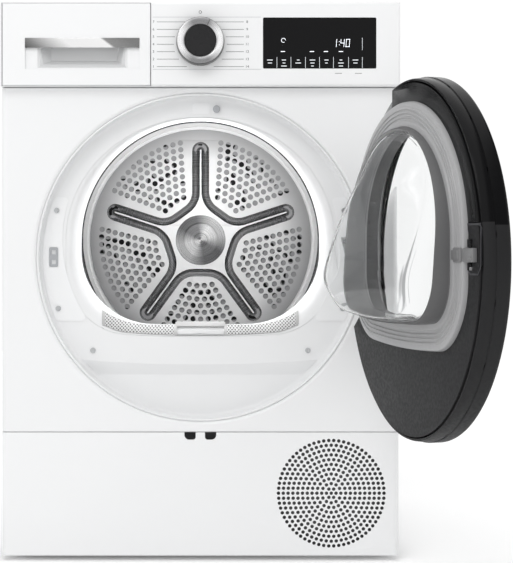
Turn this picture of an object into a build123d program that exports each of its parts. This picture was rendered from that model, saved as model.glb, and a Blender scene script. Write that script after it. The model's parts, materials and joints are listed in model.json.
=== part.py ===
from build123d import *
from math import acos, asin, atan2, cos, degrees, hypot, radians, sin
import os

# Heat-pump clothes dryer, built as an assembly of its real pieces.
#
# Frame: the origin is on the floor under the middle of the cabinet. +X is to the right of someone
# who stands in front, +Y goes to the back and +Z is up. Sizes are in millimetres. The door is
# drawn open, as it stands while the machine is being loaded.

os.makedirs("parts", exist_ok=True)

# ================================================================ driving dimensions
cabinet_width = 598.0
cabinet_height = 842.0
cabinet_depth = 613.0          # control fascia to rear air duct, door left out
sheet = 1.0                    # steel sheet of the casing and the drum
moulding = 3.0                 # wall of the plastic mouldings
trim_gap = 1.0                 # joint lines between neighbouring panels
part_gap = 0.5                 # between pieces that only lie beside each other
swing_gap = 2.0                # between a moving piece and what it passes
shaft_clearance = 0.05         # radial, shafts in their bushes

# heights of the front's joint lines
foot_height = 20.0
plinth_bottom = 8.0
plinth_top = 193.5
fascia_bottom = 713.0
fascia_height = 126.0
worktop_thickness = 22.0

# depths
fascia_proud = 16.0            # fascia face ahead of the front panel
panel_depth = 24.0             # folded sides of the front panel and the plinth
duct_bulge = 20.0              # rear air duct behind the rear panel

# drum
drum_axis_z = 483.0
drum_radius = 285.0
drum_length = 418.0
drum_neck_radius = 193.5
drum_neck_length = 10.0
drum_cone_length = 14.0
mouth_half_width = 183.5       # loading mouth, a circle with a flattened bottom
mouth_drop = 130.0
mouth_corner = 112.0
mouth_depth = 62.0             # front panel's face to the mouth's lip
collar_length = 22.0           # sleeve behind the mouth that carries the felt seal

# door and its round recess
door_axis_z = 457.0
recess_radius = 243.5
plateau_depth = 26.0           # upper floor of the recess
floor_depth = 36.0             # lower floor of the recess
door_radius = 242.0
door_back_radius = 237.0
door_glass_radius = 196.0
door_front_depth = -21.0       # depths in the door count from the front panel's face
door_back_depth = 18.0
door_open_angle = 103.5        # the pose in which the machine is drawn
hinge_x = 248.0
hinge_proud = 15.0             # hinge axis ahead of the front panel

# D-shaped outline shared by the flare, the door's ring and its bowl
flare_half_width = 204.0
flare_rise = 186.5
flare_drop = 147.0
flare_corner = 88.0
flare_sag = 12.0               # how far the bottom edge bows down
ring_outer_inset = 4.0
ring_inner_inset = 41.0
bowl_wall = 4.0

# lower machine room
motor_x = 200.0
motor_z = 200.0
pulley_radius = 12.0
belt_thickness = 3.0
belt_width = 12.0
fan_radius = 78.0
grille_x = 197.0
grille_z = 102.0
fan_shroud_radius = 68.0

# ================================================================ worked out from them
fascia_y = -cabinet_depth / 2
front_y = fascia_y + fascia_proud
duct_y = cabinet_depth / 2
rear_y = duct_y - duct_bulge
half_width = cabinet_width / 2
fascia_top = fascia_bottom + fascia_height
worktop_z = cabinet_height - worktop_thickness
carcass_front_y = front_y + panel_depth + trim_gap
drum_front_y = front_y + mouth_depth + 8.0
drum_back_y = drum_front_y + drum_neck_length + drum_cone_length + drum_length
shield_y = front_y + floor_depth
shield_back_y = shield_y + moulding
hinge_y = front_y - hinge_proud
drum_axis = Axis((0, 0, drum_axis_z), (0, 1, 0))


def upright(y, x=0.0, z=0.0):
    """Plane facing the front at depth y: local x is +X, local y is +Z, extrudes to the front."""
    return Plane(origin=(x, y, z), x_dir=(1, 0, 0), z_dir=(0, -1, 0))


def level(z, x=0.0, y=0.0):
    """Horizontal plane at height z: local x is +X, local y is +Y, extrudes upwards."""
    return Plane(origin=(x, y, z), x_dir=(1, 0, 0), z_dir=(0, 0, 1))


def across(x, y=0.0, z=0.0):
    """Plane facing the right: local x is +Y, local y is +Z, extrudes to the right."""
    return Plane(origin=(x, y, z), x_dir=(0, 1, 0), z_dir=(1, 0, 0))


def door_plane(depth=0.0, x=0.0, z=door_axis_z):
    """Upright plane carried by the open door.

    `depth` and `x` are where the plane's origin lies when the door is shut, `depth` counting
    from the front panel's face into the cabinet. The plane faces the door's outer side.
    """
    turn = radians(door_open_angle)
    along, back = x - hinge_x, front_y + depth - hinge_y
    origin = (
        hinge_x + along * cos(turn) - back * sin(turn),
        hinge_y + along * sin(turn) + back * cos(turn),
        z,
    )
    return Plane(origin=origin, x_dir=(cos(turn), sin(turn), 0), z_dir=(sin(turn), -cos(turn), 0))


def door_profile_plane(z=door_axis_z):
    """Plane through the open door's middle: local x is the radius, local y the outward depth."""
    base = door_plane()
    return Plane(origin=(base.origin.X, base.origin.Y, z), x_dir=base.x_dir, z_dir=(0, 0, -1))


def drum_profile_plane():
    """Plane through the drum's axis: local x runs back along the axis, local y is the radius."""
    return Plane(origin=(0, 0, drum_axis_z), x_dir=(0, 1, 0), z_dir=(1, 0, 0))


def finish(builder, name):
    """Label a finished piece and write it to its own file."""
    builder.part.label = name
    export_step(builder.part, f"parts/{name}.step")


def d_outline(inset=0.0, half=flare_half_width, rise=flare_rise, drop=flare_drop, corner=flare_corner):
    """D-shaped outline about the drum axis, drawn `inset` inside the given one."""
    half, rise, drop, corner = half - inset, rise - inset, drop - inset, corner - inset
    with BuildLine() as outline:
        EllipticalCenterArc((0, 0), half, rise, start_angle=0, arc_size=180)
        Line((-half, 0), (-half, -drop + flare_sag))
        ThreePointArc((-half, -drop + flare_sag), (0, -drop), (half, -drop + flare_sag))
        Line((half, -drop + flare_sag), (half, 0))
    make_face(outline.edges())
    fillet(vertices().group_by(Axis.Y)[0], radius=corner)


def mouth_outline(grow=0.0):
    """Outline of the loading mouth at its lip."""
    d_outline(-grow, mouth_half_width, mouth_half_width, mouth_drop, mouth_corner)


def box_between(low, high, mode=Mode.ADD):
    """Box between two corners, for a builder context."""
    with Locations(((low[0] + high[0]) / 2, (low[1] + high[1]) / 2, (low[2] + high[2]) / 2)):
        Box(high[0] - low[0], high[1] - low[1], high[2] - low[2], mode=mode)


# ================================================================ casing
side_return = 18.0
side_bottom = foot_height + 6.0
panel_edge_radius = 7.0


def side_panel(side):
    """Sheet side of the cabinet: a channel folded inwards at the front and the back."""
    outer = side * half_width
    back = rear_y - sheet - part_gap
    with BuildPart() as panel:
        with BuildSketch(level(side_bottom)):
            with BuildLine():
                Polyline(
                    (outer - side * side_return, carcass_front_y),
                    (outer, carcass_front_y),
                    (outer, back),
                    (outer - side * side_return, back),
                )
                offset(amount=sheet, side=Side.LEFT if side > 0 else Side.RIGHT)
            make_face()
        extrude(amount=worktop_z - side_bottom - part_gap)
    return panel


left_side_panel = side_panel(-1)
finish(left_side_panel, "left_side_panel")
right_side_panel = side_panel(1)
finish(right_side_panel, "right_side_panel")

worktop_front_y = front_y + 2.0
worktop_rim = 30.0             # solid edge round the hollow underside
with BuildPart() as worktop:
    with BuildSketch(level(worktop_z, y=worktop_front_y)):
        RectangleRounded(cabinet_width, rear_y - front_y, radius=6, align=(Align.CENTER, Align.MIN))
    extrude(amount=worktop_thickness)
    chamfer(faces().sort_by(Axis.Z)[-1].edges(), length=1.5)
    with BuildSketch(level(worktop_z, y=worktop_front_y + worktop_rim)):
        Rectangle(
            cabinet_width - 2 * worktop_rim,
            rear_y - front_y - 2 * worktop_rim,
            align=(Align.CENTER, Align.MIN),
        )
    extrude(amount=worktop_thickness - 6, mode=Mode.SUBTRACT)
finish(worktop, "worktop")

with BuildPart() as front_panel:
    with BuildSketch(upright(front_y + panel_depth, z=plinth_top + trim_gap)):
        Rectangle(cabinet_width, fascia_bottom - plinth_top - 2 * trim_gap, align=(Align.CENTER, Align.MIN))
    extrude(amount=panel_depth)
    fillet(edges().filter_by(Axis.Z).group_by(Axis.Y)[0], radius=panel_edge_radius)
    offset(amount=-sheet, openings=faces().sort_by(Axis.Y)[-1])
    with BuildSketch(upright(front_y + panel_depth, z=door_axis_z)):
        Circle(recess_radius + moulding + part_gap)
    extrude(amount=panel_depth, mode=Mode.SUBTRACT)
finish(front_panel, "front_panel")

notch_width = 48.0             # finger notch in the plinth's top edge
notch_height = 11.0
notch_tongue = 14.0
with BuildPart() as plinth_panel:
    with BuildSketch(upright(front_y + panel_depth, z=plinth_bottom)):
        Rectangle(cabinet_width, plinth_top - plinth_bottom, align=(Align.CENTER, Align.MIN))
    extrude(amount=panel_depth)
    fillet(edges().filter_by(Axis.Z).group_by(Axis.Y)[0], radius=panel_edge_radius)
    offset(amount=-moulding, openings=faces().sort_by(Axis.Y)[-1])
    with BuildSketch(upright(front_y + panel_depth, z=plinth_top)):
        for side in (-1, 1):
            with Locations((side * (notch_width + notch_tongue) / 4, 0)):
                Rectangle((notch_width - notch_tongue) / 2, 2 * notch_height)
    extrude(amount=panel_depth, mode=Mode.SUBTRACT)
finish(plinth_panel, "plinth_panel")

# ---------------------------------------------------------------- rear panel and air duct
rear_bottom = 150.0
rear_side_gap = 3.0
bearing_boss_radius = 34.0
duct_radius = 252.0
duct_foot_left_x, duct_foot_right_x = 112.0, 276.0
duct_foot_z = rear_bottom + 14.0
fan_outlet_radius = 55.0
duct_flange = 12.0
duct_bevel = 8.0


def duct_outline(grow=0.0, mode=Mode.ADD):
    """Outline of the rear air duct: a disc round the drum axis on a foot over the fan's outlet."""
    Circle(duct_radius + grow, mode=mode)
    foot_middle = ((duct_foot_left_x + duct_foot_right_x) / 2, (duct_foot_z - drum_axis_z) / 2)
    with Locations(foot_middle):
        Rectangle(
            duct_foot_right_x - duct_foot_left_x + 2 * grow,
            drum_axis_z - duct_foot_z + 2 * grow,
            mode=mode,
        )


with BuildPart() as rear_panel:
    with BuildSketch(upright(rear_y, z=rear_bottom)):
        Rectangle(
            cabinet_width - 2 * rear_side_gap,
            worktop_z - rear_bottom - part_gap,
            align=(Align.CENTER, Align.MIN),
        )
    extrude(amount=sheet)
    with BuildSketch(upright(rear_y, z=drum_axis_z)):
        Circle(bearing_boss_radius)
        with PolarLocations(150, 8, start_angle=22.5):
            RegularPolygon(42, 8)
        with Locations((motor_x, motor_z - drum_axis_z)):
            Circle(fan_outlet_radius)
    extrude(amount=sheet, mode=Mode.SUBTRACT)
finish(rear_panel, "rear_panel")

with BuildPart() as rear_air_duct:
    with BuildSketch(upright(duct_y, z=drum_axis_z)):
        duct_outline()
    extrude(amount=duct_bulge)
    chamfer(faces().sort_by(Axis.Y)[-1].edges(), length=duct_bevel)
    offset(amount=-sheet, openings=faces().sort_by(Axis.Y)[0])
    with BuildSketch(upright(rear_y + sheet, z=drum_axis_z)):
        duct_outline(duct_flange)
        duct_outline(-sheet, mode=Mode.SUBTRACT)
    extrude(amount=sheet)
finish(rear_air_duct, "rear_air_duct")

# ---------------------------------------------------------------- base, feet
base_top = 176.0
base_wall = 4.0
base_front_y = front_y + panel_depth + 6.0
base_back_y = rear_y - 2 * (sheet + part_gap)
base_half_width = half_width - sheet - 2.0
tunnel_right_x = -20.0         # heat exchangers' air tunnel, on the cabinet's left
tunnel_left_x = -262.0
tunnel_lid_z = 170.0
tunnel_floor_z = 44.0
pump_x, pump_y = -110.0, 251.0
pipe_radius = 4.0
hot_gas_wall_y, hot_gas_wall_z = 20.0, 120.0
suction_wall_y, suction_wall_z = -140.0, 100.0
foot_x, foot_front_y, foot_back_y = 262.0, -232.0, 245.0
foot_spots = [(x, y) for x in (-foot_x, foot_x) for y in (foot_front_y, foot_back_y)]
foot_radius = 20.0
foot_stud_radius = 5.0
foot_boss_height = 24.0
cooling_hub_radius = 22.0
cooling_pin_radius = 4.0
cooling_fan_y = base_front_y + base_wall + 4.0
cooling_fan_width = 22.0

with BuildPart() as base_carrier:
    box_between((-base_half_width, base_front_y, foot_height), (base_half_width, base_back_y, base_top))
    fillet(edges().filter_by(Axis.Z), radius=10)
    box_between(
        (-base_half_width + base_wall, base_front_y + base_wall, foot_height + base_wall),
        (base_half_width - base_wall, base_back_y - base_wall, base_top),
        mode=Mode.SUBTRACT,
    )
    for wall_x in (tunnel_left_x, tunnel_right_x):
        box_between(
            (wall_x - base_wall / 2, base_front_y, foot_height),
            (wall_x + base_wall / 2, base_back_y - 60, tunnel_lid_z),
        )
    box_between(
        (tunnel_left_x, base_front_y, tunnel_floor_z - base_wall),
        (tunnel_right_x, base_back_y - 60, tunnel_floor_z),
    )
    with BuildSketch(across(tunnel_right_x - base_wall)):
        with Locations((hot_gas_wall_y, hot_gas_wall_z), (suction_wall_y, suction_wall_z)):
            Circle(pipe_radius + part_gap)
    extrude(amount=2 * base_wall, mode=Mode.SUBTRACT)
    with BuildSketch(upright(base_front_y + base_wall, x=grille_x, z=grille_z)):
        Circle(fan_shroud_radius)
    extrude(amount=base_wall, mode=Mode.SUBTRACT)
    with BuildSketch(upright(base_front_y + base_wall, x=grille_x, z=grille_z)):
        with PolarLocations(fan_shroud_radius / 2, 3, start_angle=90):
            Rectangle(fan_shroud_radius + 4, 6)
        Circle(cooling_hub_radius)
    extrude(amount=base_wall)
    with BuildSketch(upright(cooling_fan_y + cooling_fan_width, x=grille_x, z=grille_z)):
        Circle(cooling_pin_radius)
    extrude(amount=cooling_fan_y + cooling_fan_width - base_front_y - base_wall)
    with BuildSketch(level(foot_height)):
        with Locations(foot_spots):
            RegularPolygon(foot_radius, 12)
    extrude(amount=foot_boss_height)
    with BuildSketch(level(foot_height)):
        with Locations(foot_spots):
            RegularPolygon(foot_stud_radius + part_gap, 12)
    extrude(amount=foot_boss_height, mode=Mode.SUBTRACT)
finish(base_carrier, "base_carrier")

foot_pad_height = 12.0
foot_nut_radius = 11.0
with BuildPart() as levelling_feet:
    with BuildSketch(level(0)):
        with Locations(foot_spots):
            RegularPolygon(foot_radius, 20)
    extrude(amount=foot_pad_height)
    with BuildSketch(level(foot_pad_height)):
        with Locations(foot_spots):
            RegularPolygon(foot_nut_radius, 6)
    extrude(amount=foot_height - foot_pad_height - part_gap)
    with BuildSketch(level(foot_pad_height)):
        with Locations(foot_spots):
            RegularPolygon(foot_stud_radius, 12)
    extrude(amount=foot_height - foot_pad_height + foot_boss_height)
finish(levelling_feet, "levelling_feet")

# ================================================================ control panel
drawer_left_x = -296.0
drawer_right_x = -74.5
drawer_bottom_z = fascia_bottom + trim_gap
drawer_top_z = fascia_top - 2.0
lower_fascia_top = worktop_z - trim_gap
knob_z = 779.0
knob_radius = 36.0
knob_cap_radius = 24.0
knob_height = 20.0
spindle_radius = 3.0
display_left_x, display_right_x = 93.5, 263.0
display_bottom_z, display_top_z = 739.0, 815.5
display_pocket = 1.0
window_fit = 0.2               # gap round the display window
display_middle = ((display_left_x + display_right_x) / 2, (display_bottom_z + display_top_z) / 2)
display_width = display_right_x - display_left_x
display_height = display_top_z - display_bottom_z

with BuildPart() as control_fascia:
    with BuildSketch(across(-half_width)):
        with BuildLine():
            Polyline(
                (fascia_y, fascia_bottom),
                (fascia_y, fascia_top),
                (worktop_front_y - trim_gap, fascia_top),
                (worktop_front_y - trim_gap, lower_fascia_top),
                (carcass_front_y - trim_gap, lower_fascia_top),
                (carcass_front_y - trim_gap, fascia_bottom),
                close=True,
            )
        make_face()
    extrude(amount=cabinet_width)
    fillet(faces().sort_by(Axis.Y)[0].edges(), radius=4)
    offset(amount=-moulding, openings=faces().sort_by(Axis.Y)[-1])
    box_between(
        (drawer_left_x - trim_gap, fascia_y, drawer_bottom_z - trim_gap / 2),
        (drawer_right_x + trim_gap, carcass_front_y, drawer_top_z + trim_gap / 2),
        mode=Mode.SUBTRACT,
    )
    with BuildSketch(upright(fascia_y + display_pocket)):
        with Locations(display_middle):
            RectangleRounded(display_width, display_height, 2)
    extrude(amount=display_pocket, mode=Mode.SUBTRACT)
    with BuildSketch(upright(fascia_y + moulding, z=knob_z)):
        Circle(spindle_radius + 1)
    extrude(amount=moulding, mode=Mode.SUBTRACT)
finish(control_fascia, "control_fascia")

with BuildPart() as display_window:
    with BuildSketch(upright(fascia_y + display_pocket)):
        with Locations(display_middle):
            RectangleRounded(display_width - 2 * window_fit, display_height - 2 * window_fit, 2)
    extrude(amount=display_pocket)
finish(display_window, "display_window")

board_y = fascia_y + 26.0
board_thickness = 2.0
board_left_x, board_right_x = -60.0, 270.0
board_bottom_z, board_top_z = 730.0, 812.0
encoder_size, encoder_depth = 16.0, 8.0
module_inset = 7.0             # display module inside the display's outline
module_depth = 12.0
with BuildPart() as control_board:
    box_between(
        (board_left_x, board_y, board_bottom_z),
        (board_right_x, board_y + board_thickness, board_top_z),
    )
    with Locations((0, board_y - encoder_depth / 2, knob_z)):
        Box(encoder_size, encoder_depth, encoder_size)
    box_between(
        (display_left_x + module_inset, board_y - module_depth, display_bottom_z + module_inset),
        (display_right_x - module_inset, board_y, display_top_z - module_inset),
    )
    with BuildSketch(upright(board_y, z=knob_z)):
        Circle(spindle_radius + shaft_clearance)
    extrude(amount=encoder_depth, mode=Mode.SUBTRACT)
finish(control_board, "control_board")

with BuildPart() as selector_ring:
    with BuildSketch(upright(fascia_y - part_gap, z=knob_z)):
        Circle(knob_radius)
        Circle(knob_cap_radius, mode=Mode.SUBTRACT)
    extrude(amount=knob_height)
    chamfer(faces().sort_by(Axis.Y)[0].edges().sort_by(SortBy.LENGTH)[-1], length=2.5)
finish(selector_ring, "selector_ring")

with BuildPart() as selector_cap:
    with BuildSketch(upright(fascia_y - part_gap, z=knob_z)):
        Circle(knob_cap_radius)
    extrude(amount=knob_height - 2)
    chamfer(faces().sort_by(Axis.Y)[0].edges(), length=1)
    with BuildSketch(upright(board_y, z=knob_z)):
        Circle(spindle_radius)
    extrude(amount=board_y - fascia_y + part_gap)
finish(selector_cap, "selector_cap")

# ---------------------------------------------------------------- condensate drawer
drawer_depth = panel_depth + fascia_proud - moulding
grip_left_x, grip_right_x = -262.0, -91.0
grip_bottom_z, grip_bar_z, grip_top_z = 738.5, 770.5, 785.0
grip_shelf = 4.0               # shallow step round the scoop
grip_depth = 28.0
scoop_side = 22.0
tank_left_x, tank_right_x = -278.0, -86.0
tank_bottom_z, tank_top_z = 744.0, 814.0
tank_back_y = 205.0
tank_wall = 2.0
tank_drum_gap = 14.0

with BuildPart() as drawer_front:
    box_between(
        (drawer_left_x, fascia_y, drawer_bottom_z),
        (drawer_right_x, worktop_front_y - trim_gap, drawer_top_z),
    )
    box_between(
        (drawer_left_x + 3, fascia_y, drawer_bottom_z),
        (drawer_right_x - 3, fascia_y + drawer_depth, lower_fascia_top - trim_gap),
    )
    fillet(faces().sort_by(Axis.Y)[0].edges(), radius=2)
    box_between(
        (drawer_left_x + 3 + moulding, fascia_y + moulding, drawer_bottom_z + moulding),
        (drawer_right_x - 3 - moulding, fascia_y + drawer_depth, lower_fascia_top - trim_gap - moulding),
        mode=Mode.SUBTRACT,
    )
    box_between(
        (grip_left_x - moulding, fascia_y + 1, grip_bottom_z - moulding),
        (grip_right_x + moulding, fascia_y + grip_depth + moulding, grip_top_z + moulding),
    )
    box_between(
        (grip_left_x, fascia_y, grip_bottom_z),
        (grip_right_x, fascia_y + grip_shelf, grip_top_z),
        mode=Mode.SUBTRACT,
    )
    with BuildSketch(upright(fascia_y + grip_shelf, x=(grip_left_x + grip_right_x) / 2, z=grip_top_z)):
        Rectangle(
            grip_right_x - grip_left_x - 36,
            grip_top_z - grip_bottom_z - 2,
            align=(Align.CENTER, Align.MAX),
        )
    with BuildSketch(upright(fascia_y + grip_depth, x=(grip_left_x + grip_right_x) / 2, z=grip_top_z)):
        Rectangle(
            grip_right_x - grip_left_x - 36 - 2 * scoop_side,
            grip_top_z - grip_bottom_z - 14,
            align=(Align.CENTER, Align.MAX),
        )
    loft(mode=Mode.SUBTRACT)
finish(drawer_front, "drawer_front")

with BuildPart() as drawer_trim_bar:
    box_between((grip_left_x, fascia_y - 1, grip_bar_z), (grip_right_x, fascia_y + 3, grip_top_z))
    fillet(faces().sort_by(Axis.Y)[0].edges(), radius=0.8)
finish(drawer_trim_bar, "drawer_trim_bar")


def tank_profile(grow, top):
    """Tank's cross-section, its underside following the drum, `grow` larger all round."""
    with Locations(((tank_left_x + tank_right_x) / 2, top)):
        Rectangle(
            tank_right_x - tank_left_x + 2 * grow,
            top - tank_bottom_z + grow,
            align=(Align.CENTER, Align.MAX),
        )
    with Locations((0, drum_axis_z)):
        Circle(drum_radius + tank_drum_gap - grow, mode=Mode.SUBTRACT)


tank_front_y = fascia_y + drawer_depth
with BuildPart() as condensate_tank:
    with BuildSketch(upright(tank_back_y)):
        tank_profile(0, tank_top_z)
    extrude(amount=tank_back_y - tank_front_y)
    with BuildSketch(upright(tank_back_y - tank_wall)):
        tank_profile(-tank_wall, tank_top_z - tank_wall)
    extrude(amount=tank_back_y - tank_front_y - 2 * tank_wall, mode=Mode.SUBTRACT)
    with BuildSketch(level(tank_top_z - tank_wall)):
        with Locations((tank_left_x + 45, tank_back_y - 45)):
            Circle(16)
    extrude(amount=tank_wall, mode=Mode.SUBTRACT)
finish(condensate_tank, "condensate_tank")

tray_wall = 2.0
tray_front_y = shield_back_y + part_gap
tray_back_y = tank_back_y + 10
with BuildPart() as tank_tray:
    with BuildSketch(upright(tray_back_y)):
        tank_profile(swing_gap + tray_wall, tank_top_z)
    extrude(amount=tray_back_y - tray_front_y)
    with BuildSketch(upright(tray_back_y - tray_wall)):
        tank_profile(swing_gap, tank_top_z)
    extrude(amount=tray_back_y - tray_front_y, mode=Mode.SUBTRACT)
finish(tank_tray, "tank_tray")

# ================================================================ front bearing shield
shield_half_width = 276.0
shield_bottom, shield_top = 186.0, 736.0
wall_setback = 1.5             # recess wall stops this far behind the front panel's face
plateau_edge_z = 302.0         # where the step down to the lower floor begins, at the sides
step_foot_z = 280.0
lip_wall = 2.5
filter_half_width = 152.0
filter_front_depth = 31.0
filter_back_depth = 58.0
filter_pocket_z = 286.0
filter_headroom = 40.0         # cut out of the funnel's corners, so that the filter lifts out
channel_half_width = 128.0
channel_front_depth, channel_back_depth = 40.0, 56.0
channel_bottom_z = base_top + 6
switch_x, switch_z = 24.6, 682.0
plunger_radius = 5.5
receptacle_x = -223.0
roller_angle = 32.0            # front support rollers, either side of the drum's lowest point
roller_radius = 19.7
roller_gap = 0.3
roller_width = 16.0
roller_bore = 4.0
roller_y = drum_front_y + drum_neck_length + drum_cone_length + 14
roller_reach = drum_radius + roller_gap + roller_radius
roller_side = roller_reach * sin(radians(roller_angle))
roller_z = drum_axis_z - roller_reach * cos(radians(roller_angle))
roller_spots = [(-roller_side, roller_z), (roller_side, roller_z)]

with BuildPart() as bearing_shield:
    with BuildSketch(upright(shield_back_y)):
        with Locations((0, (shield_bottom + shield_top) / 2)):
            RectangleRounded(2 * shield_half_width, shield_top - shield_bottom, 12)
    extrude(amount=moulding)
    # round wall of the recess
    with BuildSketch(upright(shield_y, z=door_axis_z)):
        Circle(recess_radius + moulding)
        Circle(recess_radius, mode=Mode.SUBTRACT)
    extrude(amount=floor_depth - wall_setback)
    # raised upper floor with its sloping lower edge
    with BuildSketch(upright(shield_y)):
        with BuildLine():
            Line((-recess_radius, step_foot_z), (recess_radius, step_foot_z))
            Line((recess_radius, step_foot_z), (recess_radius, shield_top))
            Line((recess_radius, shield_top), (-recess_radius, shield_top))
            Line((-recess_radius, shield_top), (-recess_radius, step_foot_z))
        make_face()
        with Locations((0, door_axis_z)):
            Circle(recess_radius + 1, mode=Mode.INTERSECT)
    extrude(amount=floor_depth - plateau_depth)
    with BuildSketch(across(-recess_radius)):
        with BuildLine():
            Polyline(
                (shield_y, step_foot_z),
                (front_y + plateau_depth, step_foot_z),
                (front_y + plateau_depth, plateau_edge_z),
                close=True,
            )
        make_face()
    extrude(amount=2 * recess_radius, mode=Mode.SUBTRACT)
    # funnel from the D-shaped flare to the mouth
    with BuildSketch(upright(front_y + plateau_depth, z=drum_axis_z)):
        d_outline(-lip_wall)
    with BuildSketch(upright(front_y + mouth_depth, z=drum_axis_z)):
        mouth_outline(lip_wall)
    loft()
    with BuildSketch(upright(front_y + plateau_depth, z=drum_axis_z)):
        d_outline()
    with BuildSketch(upright(front_y + mouth_depth, z=drum_axis_z)):
        mouth_outline()
    loft(mode=Mode.SUBTRACT)
    # sleeve that carries the drum's felt seal
    with BuildSketch(upright(front_y + mouth_depth + collar_length, z=drum_axis_z)):
        Circle(mouth_half_width + lip_wall)
        Circle(mouth_half_width, mode=Mode.SUBTRACT)
    extrude(amount=collar_length + 4)
    with BuildSketch(upright(front_y + mouth_depth, z=drum_axis_z)):
        mouth_outline()
    extrude(amount=4, mode=Mode.SUBTRACT)
    # pocket for the lint filter's head, door switch and axle holes
    box_between(
        (-filter_half_width, front_y + filter_front_depth, filter_pocket_z),
        (filter_half_width, front_y + filter_back_depth, drum_axis_z - mouth_drop + filter_headroom),
        mode=Mode.SUBTRACT,
    )
    with BuildSketch(upright(shield_back_y)):
        with Locations((switch_x, switch_z)):
            Circle(plunger_radius + 0.1)
    extrude(amount=floor_depth, mode=Mode.SUBTRACT)
    with BuildSketch(upright(shield_back_y)):
        with Locations(roller_spots):
            Circle(roller_bore)
    extrude(amount=moulding, mode=Mode.SUBTRACT)
finish(bearing_shield, "bearing_shield")

# ---------------------------------------------------------------- small parts on the shield
plate_thickness = 1.5
plate_inner_radius = 209.5
plate_bottom_z, plate_top_z = 360.0, 548.0
screw_radius = 4.2
plate_screw_spots = [(side * x, z) for side in (-1, 1) for x, z in ((218.5, 528.0), (216.0, 379.0))]
shield_screw_spots = [(side * 163.5, 315.0) for side in (-1, 1)]


receptacle_height, receptacle_width = 29.0, 13.0
slot_size = 6.5
slot_pitch = 15.0
with BuildPart() as recess_side_plates:
    with BuildSketch(upright(front_y + plateau_depth, z=door_axis_z)):
        Circle(recess_radius - 4)
        with Locations((0, (plate_bottom_z + plate_top_z) / 2 - door_axis_z)):
            Rectangle(2 * recess_radius, plate_top_z - plate_bottom_z, mode=Mode.INTERSECT)
        with Locations((0, drum_axis_z - door_axis_z)):
            Circle(plate_inner_radius, mode=Mode.SUBTRACT)
        fillet(vertices(), radius=6)
        with Locations((receptacle_x, 0)):
            RectangleRounded(receptacle_width + 1, receptacle_height + 1, 2, mode=Mode.SUBTRACT)
    extrude(amount=plate_thickness)
finish(recess_side_plates, "recess_side_plates")

with BuildPart() as latch_receptacle:
    with BuildSketch(upright(front_y + plateau_depth, x=receptacle_x, z=door_axis_z)):
        RectangleRounded(receptacle_width, receptacle_height, 2)
    extrude(amount=plate_thickness + 1)
    with BuildSketch(upright(front_y + plateau_depth, x=receptacle_x, z=door_axis_z)):
        with GridLocations(1, slot_pitch, 1, 2):
            Rectangle(slot_size, slot_size)
    extrude(amount=plate_thickness + 1, mode=Mode.SUBTRACT)
finish(latch_receptacle, "latch_receptacle")

with BuildPart() as shield_screws:
    with BuildSketch(upright(front_y + plateau_depth - plate_thickness)):
        with Locations(plate_screw_spots):
            RegularPolygon(screw_radius, 12)
    with BuildSketch(upright(front_y + plateau_depth)):
        with Locations(shield_screw_spots):
            RegularPolygon(screw_radius, 12)
    extrude(amount=1.8)
finish(shield_screws, "shield_screws")

with BuildPart() as door_switch_cover:
    with BuildSketch(upright(front_y + plateau_depth, x=1, z=switch_z + 1)):
        RectangleRounded(26, 16, 4)
    extrude(amount=1.5)
finish(door_switch_cover, "door_switch_cover")

plunger_reach = 7.0
with BuildPart() as door_switch_plunger:
    with BuildSketch(upright(front_y + floor_depth, x=switch_x, z=switch_z)):
        Circle(plunger_radius)
    extrude(amount=floor_depth - plateau_depth + plunger_reach - 1)
    chamfer(faces().sort_by(Axis.Y)[0].edges(), length=1)
finish(door_switch_plunger, "door_switch_plunger")

# ---------------------------------------------------------------- lint filter and its channel
channel_wall = 2.0
channel_top_z = 322.0
with BuildPart() as filter_channel:
    box_between(
        (-channel_half_width - channel_wall, shield_back_y + part_gap, channel_bottom_z),
        (channel_half_width + channel_wall, front_y + channel_back_depth + channel_wall, channel_top_z),
    )
    box_between(
        (-channel_half_width, shield_back_y + part_gap + channel_wall, channel_bottom_z),
        (channel_half_width, front_y + channel_back_depth, channel_top_z),
        mode=Mode.SUBTRACT,
    )
finish(filter_channel, "filter_channel")

head_half_width = filter_half_width - 1.0
head_front_depth = filter_front_depth + 1.0
head_back_depth = filter_back_depth - 1.0
head_foot_z = channel_top_z + part_gap
filter_wall = 2.0
filter_bottom_z = channel_bottom_z + 25
ramp_start_z = drum_axis_z - flare_drop
ramp_rise = (flare_drop - mouth_drop) / (mouth_depth - plateau_depth)


def ramp_z(depth):
    """Height of the funnel's bottom at a depth behind the front panel."""
    return ramp_start_z + ramp_rise * (depth - plateau_depth)


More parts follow.
